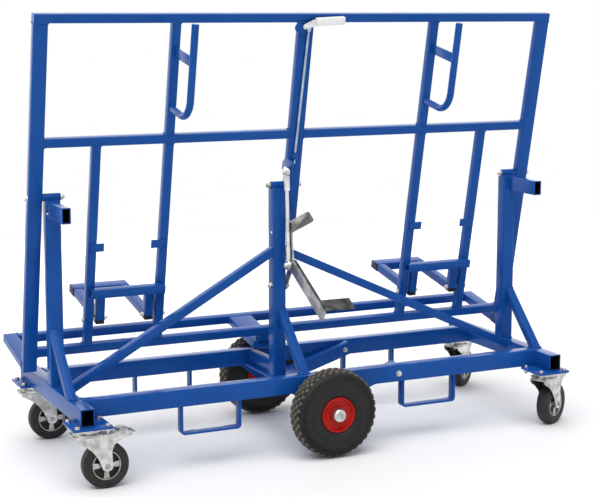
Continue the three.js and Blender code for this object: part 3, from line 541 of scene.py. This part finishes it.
cross_bolt("left_hinge_bolt", -820, -727, HINGE_Y, HINGE_Z, 6)
cross_bolt("right_hinge_bolt", 820, 727, HINGE_Y, HINGE_Z, 6)
cross_bolt("centre_hinge_bolt", 8, -84, HINGE_Y, HINGE_Z, 6)
cross_bolt("pedal_pivot_bolt", -32, -80, -12, 468, 6)
bm = bmesh.new()
for side in (-1, 1):
    hex_head(bm, (side * 771, -36, 728), X * side, 3.2, 2.6, False)
hex_head(bm, (-80, -17, 630), -X, 3.6, 3.0, False)
piece("post_screws", bm, "chassis", ZINC)
print("bolts made")

# %% [markdown]
# ## The middle wheels and their carrier
# The middle pair turns on one axle held by two arms under the rails. Each is a pneumatic wheel with a pressed
# rim: the carcass is turned from a profile with spin, then rows of blocks and short side ribs are set round
# it. Displacement could raise the tread too, but real blocks keep a crisp edge in the outline.

# %% Arms and axle
bm = bmesh.new()
for side in (-1, 1):
    box_section(bm, (267, side * 154, 213), (-16, side * 154, 126), Y, 30, 40, 3)
    stand = Matrix.Translation((0, side * RAIL_Y + 4, 0)) @ Matrix.Rotation(math.pi / 2, 4, "X")
    cut_plate(bm, [(-100, 182.7), (-20, 116), (20, 130), (-16, 182.7)], 8, stand, 0.8, 3)
    for face in (side * RAIL_Y - 4, side * RAIL_Y + 4):
        bead(bm, [(-98, face, 182), (-18, face, 182)], STANDING)
piece("wheel_carrier_arms", bm, "chassis", BLUE_COAT, stands_for=("wheel_carrier",))
bm = bmesh.new()
round_bar(bm, (0, -302, 130), (0, 302, 130), 10)
for side in (-1, 1):
    round_bar(bm, (0, side * 172, 130), (0, side * 232, 130), 14)
    hex_head(bm, (247, side * 214.3, RAIL_MID), Y * side, 7.2, 5.5)
    hex_head(bm, (247, side * 139, RAIL_MID), Y * -side, 6.5, 6)
piece("carrier_axle_and_bolts", bm, "chassis", ZINC)

# %% Tyre and rim
SIDEWALL = [(52.5, 33), (57, 36.5), (66, 40.2), (76, 41.8), (82, 41.8), (83.4, 40.9), (90, 40.8),
            (91.4, 41.6), (100, 41.0), (108, 39.2), (114.5, 36), (120, 31), (123.6, 25), (125.4, 16),
            (126, 6)]
RIM_SIDE = [(52, 31), (52, 36), (50.8, 37.8), (48.9, 37.8), (47.6, 36), (46.6, 30), (44, 24.5), (38, 21.5),
            (28, 20.5), (23.5, 22), (21.5, 26), (20.8, 31), (19, 33.5), (10.4, 33.8)]


def both_sides(profile):
    return [(r, -a) for r, a in profile] + [(r, a) for r, a in reversed(profile)]


def set_round(bm, count, radial, axial, shift, matrix, shape):
    for k in range(count):
        part = bmesh.new()
        angle = 2 * math.pi * (k + shift) / count
        shape(part)
        settle(bm, part, matrix @ Matrix.Rotation(angle, 4, "Z") @ Matrix.Translation((radial, 0, axial)))


def lozenge(lean):
    def shape(part):
        bmesh.ops.create_cone(part, cap_ends=True, segments=4, radius1=1.0, radius2=0.72, depth=6.0)
        bmesh.ops.scale(part, vec=(7.2, 8.8, 1), verts=part.verts)
        turn = Matrix.Rotation(lean, 3, "Y") @ Matrix.Rotation(math.pi / 2, 3, "Y")
        bmesh.ops.rotate(part, cent=(0, 0, 0), matrix=turn, verts=part.verts)
    return shape


def shoulder_rib(lean):
    def shape(part):
        bmesh.ops.create_cube(part, size=1.0)
        bmesh.ops.scale(part, vec=(15, 3.0, 3.4), verts=part.verts)
        bmesh.ops.rotate(part, cent=(0, 0, 0), matrix=Matrix.Rotation(lean, 3, "Y"), verts=part.verts)
    return shape


for word, side in (("front", -1), ("rear", 1)):
    body = f"{word}_wheel"
    upright = Matrix.Translation((0, side * 268, 130)) @ Matrix.Rotation(-math.pi / 2, 4, "X")
    bm = bmesh.new()
    turned(bm, both_sides(SIDEWALL), upright, 96)
    for flip in (-1, 1):
        set_round(bm, 96, 110.5, flip * 38.2, 0, upright, shoulder_rib(flip * 0.36))
    piece(f"{body}_rubber", bm, body, TYRE, stands_for=(f"{body}_tyre",))
    bm = bmesh.new()
    set_round(bm, 36, 126.8, 0, 0, upright, lozenge(0))
    for flip in (-1, 1):
        set_round(bm, 36, 126.4, flip * 11.5, 0.5, upright, lozenge(flip * -0.08))
        set_round(bm, 36, 124.2, flip * 23, 0, upright, lozenge(flip * -0.28))
    # the blocks' lighter finish is dust plus a painted highlight on their tops
    piece(f"{body}_tread_blocks", bm, body, TREAD_DUST_AND_HIGHLIGHT, sharp=20)
    bm = bmesh.new()
    turned(bm, both_sides(RIM_SIDE), upright, 72)
    piece(f"{body}_pressed_rim", bm, body, RED_COAT, stands_for=(f"{body}_rim",))
    bm = bmesh.new()
    for flip in (-1, 1):
        cap = [(0, flip * 50), (16, flip * 50), (19, flip * 47.6), (20.6, flip * 42), (22.4, flip * 36),
               (23, flip * 31), (0, flip * 31)]
        turned(bm, cap, upright, 48)
    piece(f"{body}_hub_caps", bm, body, ZINC)
print("middle wheels made")

# %% [markdown]
# ## Swivel casters
# A caster is a bolted top plate, a ball race, a pressed fork and a wheel with a cast, spoked centre. The two
# at the left end have a brake tread behind the wheel. Each one is drawn about its own swivel line and then set
# down, so one function with a heading makes all four and none needs turning by hand.

# %% One caster after another
LEG = [(-49, 156.7), (-45, 143), (-18, 128.5), (3, 111), (19, 90), (30, 65), (31.4, 57.8), (36, 52.4),
       (46, 49.4), (56, 52.4), (60.6, 57.8), (62, 65), (59, 105)]
CHEEK = LEG + [(62.6, 123), (71, 137), (84, 146), (84, 156.7)]
BRAKED_CHEEK = LEG + [(66.5, 123), (86, 137), (118, 146), (118, 156.7)]
CASTER_TYRE = [(41.3, 17.0), (44, 19.6), (57, 19.4), (61.4, 18), (63.9, 15.4), (65, 11), (65, 5)]
CASTER_RING = [(37.2, 10), (37.4, 16), (38.2, 17.6), (40.2, 17.6), (41.2, 16.6), (41.2, 10)]
CASTER_HUB = [(6.4, 21.6), (12.5, 21.6), (14, 20.4), (14.6, 12), (14.6, 8)]


def caster(corner, x, y, heading, braked):
    place = Matrix.Translation((x, y, 0)) @ Matrix.Rotation(heading, 4, "Z")
    square = Matrix.Translation((x, y, 0))
    bm = bmesh.new()
    lift = Matrix.Translation((0, 0, 173.2))
    cut_plate(bm, [(-50, -50), (50, -50), (50, 50), (-50, 50)], 3.3, lift, 0.7, 7)
    for sx in (-BOLT_SPREAD, BOLT_SPREAD):
        for sy in (-BOLT_SPREAD, BOLT_SPREAD):
            hex_head(bm, (sx, sy, 173), -Z, 6, 5, True, 4)
    piece(f"{corner}_caster_top_plate", bm, "chassis", ZINC, square)

    bm = bmesh.new()
    race = [(9, 153), (40, 153), (43, 156), (43, 159.5), (40, 161.5), (36, 163), (37.5, 166), (37.5, 169),
            (34, 172.6), (9, 172.6)]
    turned(bm, race, STANDING, 56)
    nuts = bmesh.new()
    crown = Matrix.Translation((0, 0, 152.9))
    cut_plate(bm, [(-49, -26), (72, -26), (72, 26), (-49, 26)], 4, crown, 1.2, 9)
    for flip in (-1, 1):
        sheet = Matrix.Translation((0, flip * 24.5 + 1.5, 0)) @ Matrix.Rotation(math.pi / 2, 4, "X")
        cut_plate(bm, BRAKED_CHEEK if braked else CHEEK, 3, sheet, 0.7, 2.5)
        round_bar(bm, (34, flip * 25.6, 150), (43, flip * 25.6, 84), 1.8, 16)
        boss = (46, flip * 25.6, 65)
        round_bar(bm, boss, (46, flip * 27.4, 65), 14, 36, 0.8)
        hex_head(nuts, (46, flip * 27, 65), Y * flip, 6.4, 4.4, True, 2.4 if flip > 0 else 0)
    round_bar(bm, (46, -26, 65), (46, 26, 65), 5.8)
    piece(f"{corner}_pressed_fork", bm, f"{corner}_fork", ZINC, place, (f"{corner}_caster_fork",))
    piece(f"{corner}_axle_nuts", nuts, f"{corner}_fork", BRUSHED, place)

    body = f"{corner}_caster_wheel"
    axle = place @ Matrix.Translation((46, 0, 65)) @ Matrix.Rotation(-math.pi / 2, 4, "X")
    bm = bmesh.new()
    turned(bm, both_sides(CASTER_TYRE), STANDING, 72)
    turned(bm, [(14, -5), (38, -5), (38, 5), (14, 5)], STANDING, 48)
    piece(f"{corner}_caster_tyre", bm, body, CASTER_RUBBER, axle, (body,))
    bm = bmesh.new()
    turned(bm, both_sides(CASTER_RING), STANDING, 60)
    turned(bm, both_sides(CASTER_HUB), STANDING, 40)
    for k in range(4):
        spoke = Matrix.Rotation(math.pi / 2 * k, 4, "Z") @ Matrix.Translation((0, 0, -14.5))
        cut_plate(bm, [(12, -5), (38, -9.5), (38, 9.5), (12, 5)], 29, spoke, 1.6)
    piece(f"{corner}_caster_centre", bm, body, ALUMINIUM, axle)

    if braked:
        bm = bmesh.new()
        arm = Matrix.Translation((0, 0, 157))
        cut_plate(bm, [(74.5, -22), (104, -18), (104, 18), (74.5, 22)], 3, arm, 0.8, 3)
        for flip in (-1, 1):
            plate(bm, (84, flip * 15 - 1.2, 157), (106, flip * 15 + 1.2, 164), 0.6)
        round_bar(bm, (102, -20, 160.5), (102, 20, 160.5), 3, 20)
        piece(f"{corner}_brake_bracket", bm, f"{corner}_brake", ZINC, place)
        bm = bmesh.new()
        tilt = Matrix.Translation((101, 0, 159)) @ Matrix.Rotation(0.36, 4, "Y")
        cut_plate(bm, [(-2, -18), (27, -18), (30, -15), (30, 15), (27, 18), (-2, 18)], 3.2, tilt, 0.9, 1.5)
        for k in range(4):
            plate(bm, (4 + 6 * k, -14, 3), (6.6 + 6 * k, 14, 4.2), 0.4, tilt)
        piece(f"{corner}_brake_tread", bm, f"{corner}_brake", BRUSHED, place,
              (f"{corner}_brake_pedal",))


for corner, x, y, heading, braked in (
    ("front_left", -CASTER_X, -CASTER_Y, 0, True),
    ("rear_left", -CASTER_X, CASTER_Y, 0, True),
    ("front_right", CASTER_X, -CASTER_Y, math.radians(28), False),
    ("rear_right", CASTER_X, CASTER_Y, math.radians(36), False),
):
    caster(corner, x, y, heading, braked)
print("casters made")

# %% [markdown]
# ## The tipping frame
# A ladder of light box section that the sheets lean on. Its tubes could be drawn at their slope, but they are
# easier to read upright about the hinge line, Y going across the frame towards the load and Z up along it, and
# leaned as the last step.

# %% Outer tubes
def frame_piece(node, kind, bm):
    piece(f"{node}_{kind}", bm, "tipping_frame", BLUE_COAT, LEANING, (node,))


bm = bmesh.new()
box_section(bm, (-820, 0, 504.5), (820, 0, 504.5), Y, 25, 25)
frame_piece("top_rail", "tube", bm)
for word, side in (("left", -1), ("right", 1)):
    bm = bmesh.new()
    box_section(bm, (side * 800, 0, -525), (side * 800, 0, 491.7), X, 40, 25, 2, "s", "e", depth=60)
    frame_piece(f"{word}_upright", "tube", bm)

# %% Cross rails
for name, start, end, across, along in (
    ("left_mid_rail", -779.7, -37.3, 0, 158),
    ("right_mid_rail", 8.3, 779.7, 0, 158),
    ("bottom_rail", -779.7, 779.7, 0, -469),
    ("ledge_rail", -779.7, 779.7, 201, -511),
):
    bm = bmesh.new()
    box_section(bm, (start, across, along), (end, across, along), Y, 25, 25, welds="se")
    frame_piece(name, "tube", bm)

# %% Short bars, stop lugs and the ledge
def short_bar(name, x, low, high, lug=0):
    bm = bmesh.new()
    box_section(bm, (x, 0, low), (x, 0, high), X, 25, 25, welds="se")
    if lug:
        near, far = (x - 7, x + 33) if lug > 0 else (x - 40, x)
        plate(bm, (near, -17.5, -167), (far, -12, -143), 0.8)
        bead(bm, [(x - 12, -12.6, -167), (x + 12, -12.6, -167)], STANDING, 1.6)
        bead(bm, [(x - 12, -12.6, -143), (x + 12, -12.6, -143)], STANDING, 1.6)
    frame_piece(name, "tube", bm)


for word, side in (("left", -1), ("right", 1)):
    short_bar(f"{word}_upper_bar", side * 413, 170.8, 491.7)
    short_bar(f"{word}_inner_bar", side * 413, -456.2, 145.2, side)
    short_bar(f"{word}_outer_bar", side * 629, -456.2, 145.2, -side)
    bm = bmesh.new()
    x = side * 800
    box_section(bm, (x, 12.8, -511), (x, 210.5, -511), X, 40, 25, welds="s")
    frame_piece(f"{word}_ledge_end", "tube", bm)
    bm = bmesh.new()
    plate(bm, (x - 20, 210, -523.5), (x + 20, 213.5, -498.5), 0.8)
    piece(f"{word}_ledge_end_cap", bm, "tipping_frame", BLACK_PLASTIC_AND_PAINTED_SHADE, LEANING)

bm = bmesh.new()
box_section(bm, (-61, -12.5, -511), (-61, 188.2, -511), X, 76, 25, 2, welds="e")
plate(bm, (-81, -12.5, -512), (-41, 12.5, -481.8), 1.5)
bead(bm, [(-79, -12.5, -482), (-43, -12.5, -482)], STANDING, 2.0)
frame_piece("ledge_centre", "tube", bm)
print("frame tubes made")

# %% [markdown]
# ## J-hooks
# Two round bars stick out of the frame's front and turn up; a flat strut ties each one back. A curve with a
# bevel would do, but spinning a ring keeps it all in one bmesh: straight out, a quarter turn round the bend,
# straight up, and the tip rounded off.

# %% Hooks swept from a ring
for word, side in (("left", -1), ("right", 1)):
    x = side * 413
    part = bmesh.new()
    lie = Matrix.Translation((x, -12.8, 248)) @ Matrix.Rotation(math.pi / 2, 4, "X")
    ring = ring_of(part, 24, 21, 21, lie)
    sweep(part, ring, [
        ((0, 0, 0), X, 0, (0, -72.2, 0), 1),
        ((x, -85, 308), -X, math.pi / 2, (0, 0, 0), 12),
        ((0, 0, 0), X, 0, (0, 0, 210), 1),
    ])
    tip = [e for e in part.edges if min(v.co.z for v in e.verts) > 517]
    soften(part, tip, 2.5, 3)
    bm = bmesh.new()
    settle(bm, part, STANDING)
    plate(bm, (x - 3, -144, 397), (x + 3, -12.8, 425), 0.8)
    for edge in (-3, 3):
        bead(bm, [(x + edge, -13, 398), (x + edge, -13, 424)], STANDING, 1.8)
        bead(bm, [(x + edge, -134.5, 398), (x + edge, -134.5, 424)], STANDING, 1.8)
    turns = [math.pi / 12 * k for k in range(25)]
    bead(bm, [(x + 11 * math.cos(a), -13, 248 + 11 * math.sin(a)) for a in turns], STANDING, 2.0)
    frame_piece(f"{word}_hook", "bar", bm)

# %% [markdown]
# ## The fold-out shelves
# Each shelf is a small welded bracket on two bolts: it lies out flat against its stop tube, or folds up. The
# lower ends of its legs have black caps. Paint, plastic and plating take three finishes, so the bracket is
# three pieces that ride the same body.

# %% Shelf brackets
for word, side in (("left", -1), ("right", 1)):
    name = f"{word}_shelf"
    middle = side * 521
    bm = bmesh.new()
    caps = bmesh.new()
    steel = bmesh.new()
    box_section(bm, (middle - 112, -25.3, -291), (middle + 112, -25.3, -291), Y, 25, 25, 2, "se", depth=30)
    box_section(bm, (middle - 87, 228, -380), (middle + 87, 228, -380), Y, 40, 25, 2, "se", depth=30)
    for hand in (-1, 1):
        x = middle + hand * 74.5
        box_section(bm, (x, -1, -381), (x, -1, -290), X, 25, 25)
        box_section(bm, (x, 0, -380), (x, 207.8, -380), X, 25, 25, welds="e")
        bead(bm, [(x - 11, -13.3, -303.3), (x + 11, -13.3, -303.3)], STANDING, 2.0)
        plate(caps, (x - 12.4, -13.4, -394), (x + 12.4, 11.4, -380.5), 1.2)
        end = middle + hand * 87
        plate(caps, (end - 2.5, 209, -392), (end + 1.2, 247, -368), 0.8)
        outside = middle + hand * 120.5
        inside = x - hand * 12.5
        round_bar(steel, (outside, 0, -380), (inside, 0, -380), 4.8)
        hex_head(steel, (outside + hand * GAP, 0, -380), X * hand, 6, 4.5)
        hex_head(steel, (inside - hand * GAP, 0, -380), X * -hand, 6, 4.5, True, 6)
    piece(f"{name}_bracket", bm, name, BLUE_COAT, LEANING, (name,))
    piece(f"{name}_caps", caps, name, BLACK_PLASTIC_AND_PAINTED_SHADE, LEANING)
    piece(f"{name}_bolts", steel, name, ZINC, LEANING)
print("hooks and shelves made")

# %% [markdown]
# ## Middle upright and the hand lever
# The wide middle upright carries the link's bracket, a guide for the latch rod and the pivot of a plated hand
# lever with a pale sleeve on its end. Lifting the lever draws the rod up. The lever is a cranked flat bar, so
# its outline is extruded and its edges are eased.

# %% Upright, lever, grip and rod
ROD_FOOT = Vector((-19.5, -18, 70))
ROD_TOP = Vector((-10.5, -18, 471))
bm = bmesh.new()
box_section(bm, (-14.5, 0, -113), (-14.5, 0, 491.7), X, 45, 25, 2, "s", "e", depth=60)
facing = Matrix.Translation((-38, 0, 0)) @ Matrix((Y, Z, X)).transposed().to_4x4()
cut_plate(bm, [(-42, 38), (24, 38), (24, 64), (4, 84), (-42, 84)], 7, facing, 1.0, 2)
guide = ROD_FOOT.lerp(ROD_TOP, 0.06)
for near, far in ((-9, -4.4), (4.4, 9)):
    plate(bm, (guide.x + near, -17.5, 84), (guide.x + far, -11.5, 102), 0.8)
turned(bm, [(4.8, -9), (8.6, -9), (8.6, 9), (4.8, 9)], Matrix.Translation((guide.x, guide.y, 93)), 32)
round_bar(bm, (-39, -11.5, 477), (-39, -23, 477), 14.5, 40, 2.0)
frame_piece("centre_upright", "tube", bm)
bm = bmesh.new()
round_bar(bm, (-28, -22, 483), (-28, -34, 483), 4)
hex_head(bm, (-28, -30.4, 483), -Y, 4.6, 3.2, False)
piece("lever_pivot_pin", bm, "tipping_frame", ZINC, LEANING)

bm = bmesh.new()
flat = Matrix.Translation((0, -24, 0)) @ Matrix.Rotation(math.pi / 2, 4, "X")
crank = [(-34, 479), (-29, 475.5), (-4, 482), (12, 484), (18, 490), (8, 506), (-4, 503), (-29, 491),
         (-34, 487)]
cut_plate(bm, crank, 6, flat, 1.2, 2)
piece("hand_lever_plate", bm, "hand_lever", NICKEL, LEANING, ("hand_lever",))
bm = bmesh.new()
hold = Matrix.Translation((52, -27, 499)) @ Matrix.Rotation(-0.05, 4, "Y")
plate(bm, (-45, -9, -11.5), (45, 9, 11.5), 2.6, hold)
piece("lever_grip_sleeve", bm, "hand_lever", PALE_GRIP, LEANING, ("lever_grip",))
bm = bmesh.new()
round_bar(bm, ROD_FOOT, ROD_TOP, 4, 20)
plate(bm, ROD_TOP + Vector((-6, -3.5, -4)), ROD_TOP + Vector((6, 3.5, 16)), 1.5)
# the rod's blue tint is a painted reflection of the blue upright
piece("latch_rod_steel", bm, "latch_rod", ROD_ZINC_PAINTED_BLUE_REFLECTION, LEANING, ("latch_rod",))

# %% [markdown]
# ## Foot pedal and link
# A rocker made of flat bar turns on the middle post. The link ties its eye to the leaning frame, so the two
# move together. The arms are straps, the treads small plates, and the link a rod between two eyes; each is
# extruded flat in the direction it was cut and then turned to its slope.

# %% Pedal
FULCRUM = (-12, 468)
EYE = (-60, 535)
ROOT = (-66, 534)
TOE = (-271, 421)
bm = bmesh.new()
strap(bm, FULCRUM, EYE, -35, 22, 6)
strap(bm, ROOT, TOE, -33, 42, 10, True)
strap(bm, EYE, (-50, 652), -35, 22, 6)
for point in (FULCRUM, EYE):
    round_bar(bm, (-38.4, *point), (-31.6, *point), 15, 36, 0.8)
piece("foot_pedal_arms", bm, "foot_pedal", BRUSHED, stands_for=("foot_pedal",))
bm = bmesh.new()
low_tread = Matrix.Translation((11, -268, 448)) @ Matrix.Rotation(math.radians(32), 4, "X")
plate(bm, (-48, -22, -3), (48, 22, 3), 1.4, low_tread)
for k in range(8):
    x = -42 + 12 * k
    plate(bm, (x - 2, -15, 2.5), (x + 2, 15, 3.4), 0.4, low_tread)
# painted reflection: a thin dark strip laid along the lower arm's top edge, where the plated edge reflects dark
# surroundings
painted_dark_edge_strip = [Vector((-33, *point)) + Vector((0, -0.4827, 0.8757)) * 21 for point in (ROOT, TOE)]
box_section(bm, *painted_dark_edge_strip, X, 9, 1.2, 0.3)
piece("foot_pedal_low_tread_and_painted_reflection", bm, "foot_pedal", DARK_STEEL_AND_PAINTED_REFLECTION)
bm = bmesh.new()
rise = Matrix.Rotation(math.radians(-24), 4, "Y") @ Matrix.Rotation(math.radians(65), 4, "X")
high_tread = Matrix.Translation((-38, -62, 650)) @ rise @ Matrix.Translation((0, 0, -3))
cut_plate(bm, [(-7, -17), (67, -17), (72, -12), (72, 12), (67, 17), (7, 17)], 6, high_tread, 1.2, 1.5)
# the high tread's darker steel is painted shade from the arm above it
piece("foot_pedal_high_tread", bm, "foot_pedal", TREAD_STEEL_PAINTED_SHADE)

# %% Link
head = LEANING @ Vector((-47, -30, 50))
foot = Vector((-47, *EYE))
bm = bmesh.new()
for end, radius in ((foot, 14), (head, 15)):
    round_bar(bm, end - X * 5, end + X * 5, radius, 36, 1.0)
round_bar(bm, foot, head, 5.8)
round_bar(bm, foot.lerp(head, 0.05), foot.lerp(head, 0.2), 7.5)
round_bar(bm, foot.lerp(head, 0.8), foot.lerp(head, 0.97), 9)
piece("link_rod_steel", bm, "link", NICKEL, stands_for=("link_rod",))
bm = bmesh.new()
dome = [(0, 0), (9, 0), (9, 4), (7.6, 7.4), (4.4, 9.4), (0, 10)]
for end in (foot, head):
    turned(bm, dome, Matrix.Translation(end - X * 5) @ Matrix.Rotation(-math.pi / 2, 4, "Y"), 32)
piece("link_cap_nuts", bm, "link", NICKEL)
print("lever, pedal and link made")

# %% [markdown]
# ## Studio
# A plain pale floor, a big soft light overhead and weaker ones from the left and the back, the way a
# catalogue picture is lit. The camera and the plating see a white sky, while the paint is lit by a dimmer one,
# so the background is white and the blue stays deep. The camera stands where the photographer stood.

# %% Light, floor and camera
scene = bpy.context.scene
scene.view_settings.view_transform = "Standard"
world = bpy.data.worlds.new("studio")
scene.world = world
world.use_nodes = True
sky = world.node_tree
ambient = sky.nodes["Background"]
ambient.inputs["Color"].default_value = (1, 1, 1, 1)
ambient.inputs["Strength"].default_value = 0.42
paper = sky.nodes.new("ShaderNodeBackground")
paper.inputs["Color"].default_value = (1, 1, 1, 1)
paper.inputs["Strength"].default_value = 1.0
seen = sky.nodes.new("ShaderNodeLightPath")
either = sky.nodes.new("ShaderNodeMixShader")
shows_paper = seen.outputs["Is Camera Ray"]
for ray in ("Is Glossy Ray", "Is Transmission Ray"):
    most = sky.nodes.new("ShaderNodeMath")
    most.operation = "MAXIMUM"
    sky.links.new(shows_paper, most.inputs[0])
    sky.links.new(seen.outputs[ray], most.inputs[1])
    shows_paper = most.outputs["Value"]
sky.links.new(shows_paper, either.inputs["Fac"])
sky.links.new(ambient.outputs["Background"], either.inputs[1])
sky.links.new(paper.outputs["Background"], either.inputs[2])
sky.links.new(either.outputs["Shader"], sky.nodes["World Output"].inputs["Surface"])


def aimed(name, lamp, place, target):
    made = bpy.data.objects.new(name, lamp)
    made.location = place
    made.visible_camera = False
    aim = Vector(target) - Vector(place)
    made.rotation_euler = aim.to_track_quat("-Z", "Y").to_euler()
    scene.collection.objects.link(made)


def soft_box(name, place, target, size, watts):
    lamp = bpy.data.lights.new(name, "AREA")
    lamp.shape = "RECTANGLE"
    lamp.size, lamp.size_y = size
    lamp.energy = watts
    aimed(name, lamp, place, target)


daylight = bpy.data.lights.new("ceiling_light", "SUN")
daylight.energy = 2.2
daylight.angle = math.radians(60)
aimed("ceiling_light", daylight, (-0.9, -1.0, 3.2), (0, 0, 0))
soft_box("back_wall_light", (0.6, 3.6, 1.9), (0.2, 0, 0.9), (6.5, 3.6), 70)
soft_box("left_light", (-3.8, -0.6, 1.6), (0, 0, 0.6), (2.6, 2.4), 2)

floor_finish, tree, shader, place = start_finish("pale_floor")
drift = noise(tree, place, 2.0)
colour_between(tree, drift, shader.inputs["Base Color"], (0.93, 0.93, 0.93), (0.95, 0.95, 0.95))
shader.inputs["Roughness"].default_value = 0.9
shader.inputs["Specular IOR Level"].default_value = 0.1
bm = bmesh.new()
bmesh.ops.create_grid(bm, x_segments=1, y_segments=1, size=30.0)
floor_mesh = bpy.data.meshes.new("floor")
bm.to_mesh(floor_mesh)
bm.free()
floor_mesh.materials.append(floor_finish)
floor = bpy.data.objects.new("floor", floor_mesh)
scene.collection.objects.link(floor)

camera_data = bpy.data.cameras.new("camera")
camera_data.lens = 90.853
camera_data.sensor_width = 36
camera_data.sensor_fit = "HORIZONTAL"
camera = bpy.data.objects.new("camera", camera_data)
camera.location = (-1.9284, -4.0869, 1.2958)
camera.rotation_euler = (math.radians(80.922), math.radians(-0.058), math.radians(-25.481))
scene.collection.objects.link(camera)
scene.camera = camera
